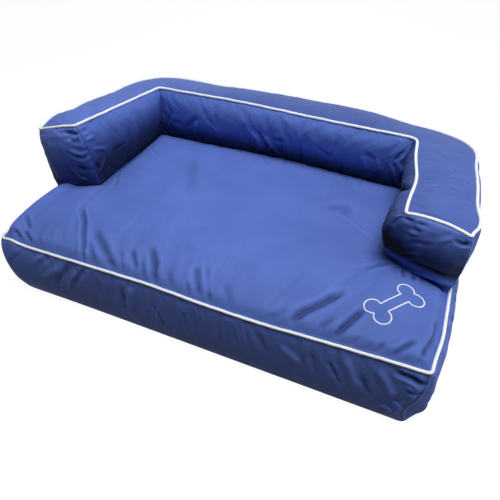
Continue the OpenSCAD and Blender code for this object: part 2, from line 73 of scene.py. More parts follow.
def bump(x, place, reach):  # bump of height 1 that fades out over the reach
    return np.exp(-((x - place) / reach) ** 2)


def hill(x, facts):  # a bump from its height, place and reach
    height, place, reach = facts
    return height * bump(x, place, reach)


def hilly(values, x, hills):
    for facts in hills:
        values = values + hill(x, facts)
    return values


def unit(v):  # vectors of length 1
    return v / np.maximum(np.linalg.norm(v, axis=-1, keepdims=True), 1e-12)


def runLengths(line):  # distance along a line of points from its start to each of them
    return np.concatenate([[0], np.cumsum(np.linalg.norm(np.diff(line, axis=0), axis=1))])


def pointsAt(s, length, line):  # points at distances s along a line
    return np.stack([np.interp(s, length, line[:, k]) for k in range(3)], -1)


def softKernel(n):  # weights of a running mean over n places to each side, with soft ends
    kernel = np.hanning(2 * n + 3)[1:-1]
    return kernel / kernel.sum()


def softTable(x, table, n=8):  # places and values joined by a smooth curve
    places, values = np.array(table, float).T
    dense = np.linspace(places[0], places[-1], 15 * n + 1)
    kernel = np.hanning(2 * n + 1) / np.hanning(2 * n + 1).sum()
    level = np.convolve(np.pad(np.interp(dense, places, values), n, "edge"), kernel, "valid")
    return np.interp(x, dense, level)


# Points along a line of corners, each rounded by a parabola that starts and ends its radius away.
# q runs from 0 to 1. Shares of q are given for each rounded corner: where it is, and where the
# line is a reach before and after it, so that two such lines can be joined point by point.
def roundedLine(corners, radii, q, shares, reach, arc=17):
    corners = np.array(corners, float) * mm
    t = np.linspace(0, 1, arc)[:, None]
    pieces = [corners[:1]]
    for k, radius in enumerate(radii):
        before, here, after = corners[k:k + 3]
        start = here + (before - here) * radius * mm / np.linalg.norm(before - here)
        end = here + (after - here) * radius * mm / np.linalg.norm(after - here)
        pieces.append((1 - t) ** 2 * start + 2 * t * (1 - t) * here + t ** 2 * end)
    line = np.concatenate(pieces + [corners[-1:]])
    length = runLengths(line)
    apexes = length[1 + arc // 2 + arc * np.arange(len(radii))]
    stops = [[a - reach * mm, a, a + reach * mm] if reach else [a] for a in apexes]
    s = np.interp(q, shares, np.concatenate([[0]] + stops + [[length[-1]]]))
    return pointsAt(s, length, line)


def sideways(line, q, ended=True, step=0.003):
    # level unit normal, to the right of the way the line runs
    low, high = q - step, q + step
    if ended:
        low, high = np.maximum(low, 0), np.minimum(high, 1)
    d = unit((line(high) - line(low))[..., :2])
    return np.stack([d[..., 1], -d[..., 0], 0 * d[..., 0]], -1)


# Seams, in millimetres. The base's seam and foot start and end in the middle of the back and run
# over the left side, the front and the right side. The bolster's lines run from the front of the
# left arm round the back to the front of the right arm.
seams = {
    "base top": [(0, 295, 160), (-450, 295, 160), (-457, -296, 149), (451, -294, 166),
                 (451, 295, 160), (0, 295, 160)],
    "base top corners": [44, 14, 5, 44],
    "base foot": [(0, 289, 1), (-444, 289, 1), (-446, -293, 1), (442, -294, 1),
                  (444, 289, 1), (0, 289, 1)],
    "base foot corners": [44, 30, 5, 44],
    "front heights": [(-450, 148), (-380, 145), (-235, 150), (-75, 155), (40, 149), (160, 149),
                      (250, 156), (370, 163), (451, 166)],
    "front hills": [(4, -428, 16)],   # the kink at the left corner: height, place, reach
    "front from": (-240, -50),   # where the heights start to hold, along y: place, reach
    # how far the right side's seam bows out, and how the bow comes in along x, y and y again
    "side bow": 8, "side bow fades": ((0, 300), (-290, 90), (250, -150)),
    "inner top": [(-357, -97, 339), (-320, 180, 320), (326, 172, 320), (345, -101, 320)],
    "inner top corners": [12, 22],
    "inner foot": [(-362, -60, 167), (-350, 207, 167), (345, 190, 167), (345, -56, 167)],
    "inner foot corners": [42, 26],
    "outer top": [(-453, -106, 312), (-448, 300, 301), (446, 300, 301), (458, -105, 307)],
    "outer top corners": [125, 122],
    "outer foot": [(-449, -108, 161), (-449, 293, 161), (449, 293, 161), (453, -98, 161)],
    "outer foot corners": [40, 40],
    "inner reach": 30,      # from a corner to where arm and back run straight
    "outer reach": 146,
    "inner top bow": (8, -90, 150),     # of the back, along x
    "inner top swing": (9, 12, 60),     # of the right arm, along y
    "inner foot bow": (15, 40, 190),
    "outer top swings": [(11, -60, 42), (5, 40, 80)], "swing from": (-105, 30),
    "outer top draw": 2,
    "right": (0, 300), "back": (140, 30),   # where the right arm is, along x, and the back, along y
    "outer top sways": [(-6, 0.1, 0.045), (5, 0.78, 0.025)],    # along q
    # the back's corners hold less filling and sink
    "outer top hills": [(12, 0.035, 0.03), (-14, 0.21, 0.06), (-19, 0.75, 0.07), (-5, 0.345, 0.05)],
}
# shares of q at the corners: the back's left one, the front's two and the back's right one
backLeft, frontLeft, frontRight, backRight = 0.14, 0.34, 0.66, 0.86
baseShares = [0, backLeft, frontLeft, frontRight, backRight, 1]
bend = 0.235    # share of q where the left arm meets the back; the right arm mirrors it
bolsterShares = [0, 0.175, bend, 0.295, 0.705, 1 - bend, 0.825, 1]


def baseSeam(q):
    p = roundedLine(seams["base top"], seams["base top corners"], q % 1, baseShares, 0)
    x, y = p[:, 0] / mm, p[:, 1] / mm
    height = hilly(softTable(x, seams["front heights"]), x, seams["front hills"])
    p[:, 2] = mix(p[:, 2], height * mm, fadeIn(y, seams["front from"]))
    right, front, rear = seams["side bow fades"]
    p[:, 0] += seams["side bow"] * mm * fadeIn(x, right) * fadeIn(y, front) * fadeIn(y, rear)
    return p


def baseFoot(q):
    return roundedLine(seams["base foot"], seams["base foot corners"], q % 1, baseShares, 0)


def bolsterLine(name, q):
    reach = seams[name.split()[0] + " reach"]
    p = roundedLine(seams[name], seams[name + " corners"], q, bolsterShares, reach)
    x, y, z = p.T / mm
    right, back = fadeIn(x, seams["right"]), fadeIn(y, seams["back"])
    if name == "inner top":
        y = y + hill(x, seams["inner top bow"]) * back
        x = x + hill(y, seams["inner top swing"]) * right
    if name == "inner foot":
        y = y + hill(x, seams["inner foot bow"]) * back
    if name == "outer top":
        front, rear = seams["outer top swings"]
        x = x + (hill(y, front) * fadeIn(y, seams["swing from"]) + hill(y, rear)
                 - seams["outer top draw"]) * right
        x = hilly(x, q, seams["outer top sways"])
        z = hilly(z, q, seams["outer top hills"])
    return np.stack([x, y, z], -1) * mm


# Cover panels as grids of points, before their folds, under the names of the CAD nodes that they
# stand for. Grids run so that their normals point out of the cushion.
cell = 4.6 * mm
panels = {}
bulges = {   # how far the walls bulge, in millimetres, along the lines' q
    "band": [(0, 17), (0.115, 17), (0.14, 14), (0.24, 20), (0.3, 25), (0.34, 20), (0.4, 10),
             (0.5, 9), (0.62, 9), (0.66, 18), (0.7, 30), (0.75, 31), (0.79, 20), (0.86, 14),
             (0.885, 17), (1, 17)],
    "inner": [(0, 12), (0.1, 24), (0.2, 20), (0.235, 2), (0.27, 20), (0.5, 28), (0.73, 20),
              (0.765, 2), (0.8, 20), (0.88, 20), (0.93, 25), (0.97, 36), (1, 33)],
    "outer": [(0, 10), (0.235, 6), (0.5, 6), (0.72, 6), (0.8, 17), (0.86, 23), (0.93, 18), (1, 9)],
}
# how far the cloth stands above the seams, in millimetres, and over which reaches; pairs are a
# place and a reach
crown = {"seat": 30, "edge rise": 8, "left rise": 16, "edge": 15, "front": 120, "side": 110,
         "foot": 110, "arm front": 22, "left bow": 1, "right bow": 8, "bow reach": 0.04,
         "end reach": 0.025, "flat": (0.8, 0.07), "rise left": (-400, -30), "rise from": (-300, 30),
         "bolster": [(0, 12), (0.08, 12.5), (0.15, 12), (0.235, 7), (0.3, 6), (0.4, 9), (0.5, 13),
                     (0.62, 13), (0.7, 8), (0.765, 5), (0.82, 8), (0.9, 13), (1, 12)]}
wrap = {   # the front right corner: places and reaches are shares of q and of the height
    "drawn in": 0.6, "drawn reach": 0.0022, "flatter": 0.35, "flat from": 0.05, "flat within": 0.04,
    "pull": (-15, -4, 0), "pull before": 0.011, "pull after": 0.0028,
    "full": (5, -6, 0), "full at": 0.007, "full reach": 0.004, "low": 0.3, "low reach": 0.2,
    "foot": (0, 0.12),
}
standing = {   # the bolster's foot on the seat, and the seat's edge, in millimetres
    "half width": 450, "half depth": 295, "arm inside": 350, "arm width": 90,
    "arm front inside": -60, "arm front outside": -100, "clear": 3,
    "back": 203, "back bow": (12, 40, 190), "back slant": 10, "slant from": (0, 340),
}
# in millimetres: height, half length and opening over each zip, the stretch in which the opening
# ends, and the slit beyond it
zips = {
    "base": {"height": 78, "half": 370, "gap": 14, "end": 4, "slit": 0.3},
    "bolster": {"height": 232.4, "half": 290, "gap": 14, "end": 4, "slit": 0.3},
}


def steps(low, high, length):  # even steps, a cell's size apart
    return np.linspace(low, high, max(3, int(round(length * mm / cell)) + 1))


def wall(foot, top, out, amount, shares, fuller=1.0):
    # straight between foot and top, with a swell added along the level normal;
    # fuller over 1 lifts the fullest place above the middle
    v = shares if np.ndim(shares) == 2 else np.broadcast_to(shares, (len(foot), len(shares)))
    p = mix(foot[:, None], top[:, None], v[..., None])
    return p + out[:, None] * (amount[:, None] * mm * swell(v ** fuller))[..., None]


def band(q, shares):
    # the front right corner is drawn in by its seam, and the front is flatter just before it
    past = q % 1 - frontRight
    drawn = 1 - wrap["drawn in"] * bump(past, 0, wrap["drawn reach"]) \
        - wrap["flatter"] * smooth((past + wrap["flat from"]) / wrap["flat within"]) * (past < 0)
    p = wall(baseFoot(q), baseSeam(q), sideways(baseSeam, q, False),
             softTable(q % 1, bulges["band"]) * drawn, shares)
    # low down, the right band wraps round that corner and pulls its seam to the front
    v = np.broadcast_to(shares, p.shape[:2])
    pull = bump(past, 0, np.where(past < 0, wrap["pull before"], wrap["pull after"]))
    full = bump(past, wrap["full at"], wrap["full reach"])
    low = (bump(v, wrap["low"], wrap["low reach"]) * fadeIn(v, wrap["foot"]))[..., None]
    return p + low * (pull[:, None, None] * np.array(wrap["pull"])
                      + full[:, None, None] * np.array(wrap["full"])) * mm


def innerWall(q, shares):
    out = sideways(lambda q: bolsterLine("inner top", q), q)
    return wall(bolsterLine("inner foot", q), bolsterLine("inner top", q), out,
                softTable(q, bulges["inner"]), shares, 1.5)


def outerWall(q, shares):
    out = -sideways(lambda q: bolsterLine("outer top", q), q)
    return wall(bolsterLine("outer foot", q), bolsterLine("outer top", q), out,
                softTable(q, bulges["outer"]), shares)


def overZip(surface, q, zipFacts, part):
    # half of a back wall: its rows run from the seam or foot to the edge over the zip
    edge = surface(q, np.array([0.0, 1.0]))
    x = np.abs(edge[:, 0, 0]) / mm
    end = zipFacts["end"]
    half = zipFacts["gap"] / 2 * smooth((zipFacts["half"] + end - x) / end) + zipFacts["slit"]
    middle = zipFacts["height"] + half * part
    v = (middle * mm - edge[:, 0, 2]) / (edge[:, 1, 2] - edge[:, 0, 2])
    t = steps(0, 1, 70)
    return surface(q, mix(v[:, None], 1, t) if part > 0 else mix(0, v[:, None], t))


def seatHeight(x, y, level):
    # a crown that is round towards the seams and dies out at the foot of the bolster
    inside, wide, deep = (standing[k] for k in ("arm inside", "half width", "half depth"))
    edge = np.minimum(wide - np.abs(x), deep - np.abs(y))
    armFront = mix(standing["arm front inside"], standing["arm front outside"],
                   np.clip((np.abs(x) - inside) / standing["arm width"], 0, 1)) - standing["clear"]
    backFoot = standing["back"] + hill(x, standing["back bow"]) \
        - standing["back slant"] * fadeIn(x, standing["slant from"])
    toArm = np.hypot(np.maximum(inside - np.abs(x), 0), np.maximum(armFront - y, 0))
    toBack = np.maximum(backFoot - y, 0)
    left = fadeIn(x, crown["rise left"]) * fadeIn(y, crown["rise from"])
    rise = mix(crown["edge rise"], crown["left rise"], left) * smooth(edge / crown["edge"])
    seat = crown["seat"] * dome((y + deep) / crown["front"]) \
        * dome((wide - np.abs(x)) / crown["side"]) * dome(np.minimum(toArm, toBack) / crown["foot"])
    return level + (rise + seat) * mm, (toArm <= 0) | (toBack <= 0)


def spread(line, width, depth):
    # a surface between the line's four stretches: a blend of the lines across and along, less
    # that of the corners (a Coons patch)
    s, t = steps(0, 1, width), steps(0, 1, depth)
    front, back = line(mix(frontLeft, frontRight, s)), line(mix(backLeft, -backLeft, s))
    left, right = line(mix(frontLeft, backLeft, t)), line(mix(frontRight, backRight, t))
    a, b = s[:, None, None], t[None, :, None]
    return mix(front[:, None], back[:, None], b) + mix(left[None], right[None], a) \
        - mix(mix(front[0], front[-1], a), mix(back[0], back[-1], a), b)


def seatPanel():
    p = spread(baseSeam, 900, 590)
    p[..., 2], under = seatHeight(p[..., 0] / mm, p[..., 1] / mm, p[..., 2])
    return p, under


def acrossTop(q, u):  # from the inner to the outer seam of the bolster's top
    return mix(bolsterLine("inner top", q)[:, None], bolsterLine("outer top", q)[:, None],
               u[None, :, None])


def topPanel():
    q, u = steps(0, 1, 1640), steps(0, 1, 122)
    p = acrossTop(q, u)
    rise = softTable(q, crown["bolster"]) * dome(np.minimum(q, 1 - q) / crown["end reach"])
    bow = hill(q, (crown["left bow"], 0, crown["bow reach"])) \
        + hill(q, (crown["right bow"], 1, crown["bow reach"]))
    flat = fadeIn(q, crown["flat"])[:, None]  # the right arm is flatter beside its outer piping
    p[..., 2] += (rise[:, None] * mix(swell(u ** 0.8, 0.7), swell(u ** 0.9, 1.1), flat)
                  + bow[:, None] * swell(u, 1)) * mm
    return p


def armFront(inner, outer, bow):
    # spans the front edges of the arm's inner and outer wall and swells forwards
    u, v = steps(0, 1, 116), np.linspace(0, 1, len(inner))
    p = mix(inner[None], outer[None], u[:, None, None])
    puff = swell(u, 0.6)[:, None] * swell(v ** 1.5, 0.6)
    p[..., 1] -= crown["arm front"] * mm * puff
    p[..., 2] += bow * mm * swell(u, 1)[:, None] * v ** 3
    return p


def makePanels():
    height, arm, back = steps(0, 1, 150), steps(0, bend, 380), steps(bend, 1 - bend, 800)
    innerBack = steps(bend, 1 - bend, 660)
    behind = steps(-backLeft, backLeft, 900)
    panels["base_top_panel"], under = seatPanel()
    panels["base_left_band"] = band(steps(backLeft, frontLeft, 590), height)
    panels["base_front_band"] = band(steps(frontLeft, frontRight, 900), height)
    panels["base_right_band"] = band(steps(frontRight, backRight, 590), height)
    for name, part in (("upper", 1), ("lower", -1)):
        panels["base_back_band_" + name] = overZip(band, behind, zips["base"], part)
        panels["bolster_back_panel_" + name] = overZip(outerWall, back[::-1], zips["bolster"], part)
    panels["bolster_top_panel"] = topPanel()
    panels["bolster_inner_panel_left"] = innerWall(arm, height)
    panels["bolster_inner_panel_back"] = innerWall(innerBack, height)
    panels["bolster_inner_panel_right"] = innerWall(1 - arm[::-1], height)
    panels["bolster_outer_panel_left"] = outerWall(arm[::-1], height)
    panels["bolster_outer_panel_right"] = outerWall(1 - arm, height)
    panels["arm_front_panel_left"] = armFront(panels["bolster_inner_panel_left"][0],
                                              panels["bolster_outer_panel_left"][-1],
                                              crown["left bow"])[::-1]
    panels["arm_front_panel_right"] = armFront(panels["bolster_inner_panel_right"][-1],
                                               panels["bolster_outer_panel_right"][0],
                                               crown["right bow"])
    return under


underBolster = makePanels()
print("panels laid out:", sum(p.size // 3 for p in panels.values()), "points")


def gridNormals(p):  # unit normals of a grid of points
    return unit(np.cross(np.gradient(p, axis=0), np.gradient(p, axis=1)))


def gridFaces(rows, columns, first=0):
    ids = first + np.arange(rows * columns).reshape(rows, columns)
    return np.stack([ids[:-1, :-1], ids[1:, :-1], ids[1:, 1:], ids[:-1, 1:]], -1).reshape(-1, 4)


def rimOf(rows, columns):  # the points round a grid's edge, in turn
    ids = np.arange(rows * columns).reshape(rows, columns)
    return np.concatenate([ids[:-1, 0], ids[-1, :-1], ids[:0:-1, -1], ids[0, :0:-1]])


def fromEdge(p):  # how many rows or columns each point of a grid lies from its edge
    rows, columns = (np.minimum(np.arange(n), np.arange(n)[::-1]) for n in p.shape[:2])
    return np.minimum(rows[:, None], columns[None])


def makeObject(name, points, *faces, uv=None, smoothFaces=True, shade=None):
    # faces: arrays of point numbers, one row for each face
    mesh = bpy.data.meshes.new(name)
    mesh.from_pydata(points.reshape(-1, 3), [], [f for part in faces for f in part.tolist()])
    mesh.polygons.foreach_set("use_smooth",
                              np.broadcast_to(smoothFaces, len(mesh.polygons)).copy())
    if uv is not None:
        corner = np.empty(len(mesh.loops), np.int32)
        mesh.loops.foreach_get("vertex_index", corner)
        layer = mesh.uv_layers.new(name="cloth")
        layer.data.foreach_set("uv", uv.reshape(-1, 2)[corner].ravel().astype(np.float32))
    if shade is not None:
        mesh.attributes.new("shade", "FLOAT", "POINT").data.foreach_set(
            "value", shade.ravel().astype(np.float32))
    piece = bpy.data.objects.new(name, mesh)
    scene.collection.objects.link(piece)
    return piece


def lengthsAlong(p, axis):  # distance from the first row of a grid to each row, in metres
    d = np.linalg.norm(np.diff(p, axis=axis), axis=-1)
    total = np.cumsum(d, axis=axis)
    return np.insert(total, 0, 0, axis=axis)


def patchUv(p):  # metres along the cloth in both directions, so that the weave keeps its size
    return np.stack([lengthsAlong(p, 0), lengthsAlong(p, 1)], -1)


# Cloth simulation: each panel is sewn down along its seams, its cloth is a little longer than the
# space between them, and the filling presses from inside. It gives the gathers and creases.
clothing = {"spare": 0.035, "frames": 22, "cap": 9.0, "level out": 30.0,
            "level by piping": 0.16, "level by seam": 0.025, "level at foot": 0.25}
clothSettings = {"quality": 5, "mass": 0.15, "tension_stiffness": 15, "compression_stiffness": 15,
                 "bending_stiffness": 0.08, "air_damping": 2, "use_pressure": True,
                 "uniform_pressure_force": 4.0, "vertex_group_mass": "sewn"}
foldShares = {"base_top_panel": 0.4, "bolster_top_panel": 0.55, "base_front_band": 0.6}
spareShares = {"bolster_inner_panel_left": 0.4, "bolster_inner_panel_back": 0.4,
               "bolster_inner_panel_right": 0.4, "base_front_band": 0.8}


def sewn(name, p):  # points of a panel that are sewn down or held under the bolster
    held = np.zeros(p.shape[:2], bool)
    held[[0, -1]] = held[:, [0, -1]] = True
    if name == "base_top_panel":
        held |= underBolster
    return held


def simulateCloth():
    sims = {}
    for name, p in panels.items():
        sim = makeObject(name + "_cloth", p, gridFaces(*p.shape[:2]))
        seam = sim.vertex_groups.new(name="sewn")
        seam.add(np.flatnonzero(sewn(name, p)).tolist(), 1.0, "REPLACE")
        cloth = sim.modifiers.new("cloth", "CLOTH")
        for key, value in clothSettings.items():
            setattr(cloth.settings, key, value)
        cloth.settings.shrink_min = -clothing["spare"] * spareShares.get(name, 1)
        cloth.settings.effector_weights.gravity = 0
        cloth.point_cache.frame_start = 1
        cloth.point_cache.frame_end = clothing["frames"]
        sims[name] = sim
    for frameNumber in range(1, clothing["frames"] + 1):
        scene.frame_set(frameNumber)
    evaluated = bpy.context.evaluated_depsgraph_get()
    shapes = {}
    for name, sim in sims.items():
        flat = np.empty(panels[name].size, np.float32)
        sim.evaluated_get(evaluated).data.vertices.foreach_get("co", flat)
        shapes[name] = flat.reshape(panels[name].shape).astype(float)
        mesh = sim.data
        bpy.data.objects.remove(sim)
        bpy.data.meshes.remove(mesh)
    scene.frame_set(1)
    return shapes


def blurred(grid, reach, axis):  # running mean with soft ends, the edge repeated outwards
    n = max(1, int(round(reach * mm / cell)))
    pad = [(0, 0)] * grid.ndim
    pad[axis] = (n, n)
    wide = np.pad(grid, pad, "reflect", reflect_type="odd") if grid.shape[axis] > n + 1 \
        else np.pad(grid, pad, "edge")
    windows = np.lib.stride_tricks.sliding_window_view(wide, 2 * n + 1, axis)
    return windows @ softKernel(n)


def foldsOnly(name, p, shape):
    # what the simulation moved, less its own level: the folds stay, the big bulge does not
    moved = shape - p
    level = blurred(blurred(moved, clothing["level out"], 0), clothing["level out"], 1)
    folds = moved - level
    folds[sewn(name, p)] = 0
    if name == "bolster_top_panel":  # the outer piping holds the cloth smooth
        folds *= smooth(np.linspace(1, 0, p.shape[1]) / clothing["level by piping"])[:, None]
    if name == "base_top_panel":     # and so does the seam on the right
        folds *= smooth(np.linspace(1, 0, p.shape[0]) / clothing["level by seam"])[:, None, None]
    if "band" in name or "outer" in name:  # level where the cloth meets the floor or the base
        folds *= smooth(np.linspace(0, 1, p.shape[1]) / clothing["level at foot"])[:, None]
    size = np.linalg.norm(folds, axis=-1, keepdims=True)
    cap = clothing["cap"] * mm
    return folds * (cap * np.tanh(size / cap) / np.maximum(size, 1e-9)) * foldShares.get(name, 1)


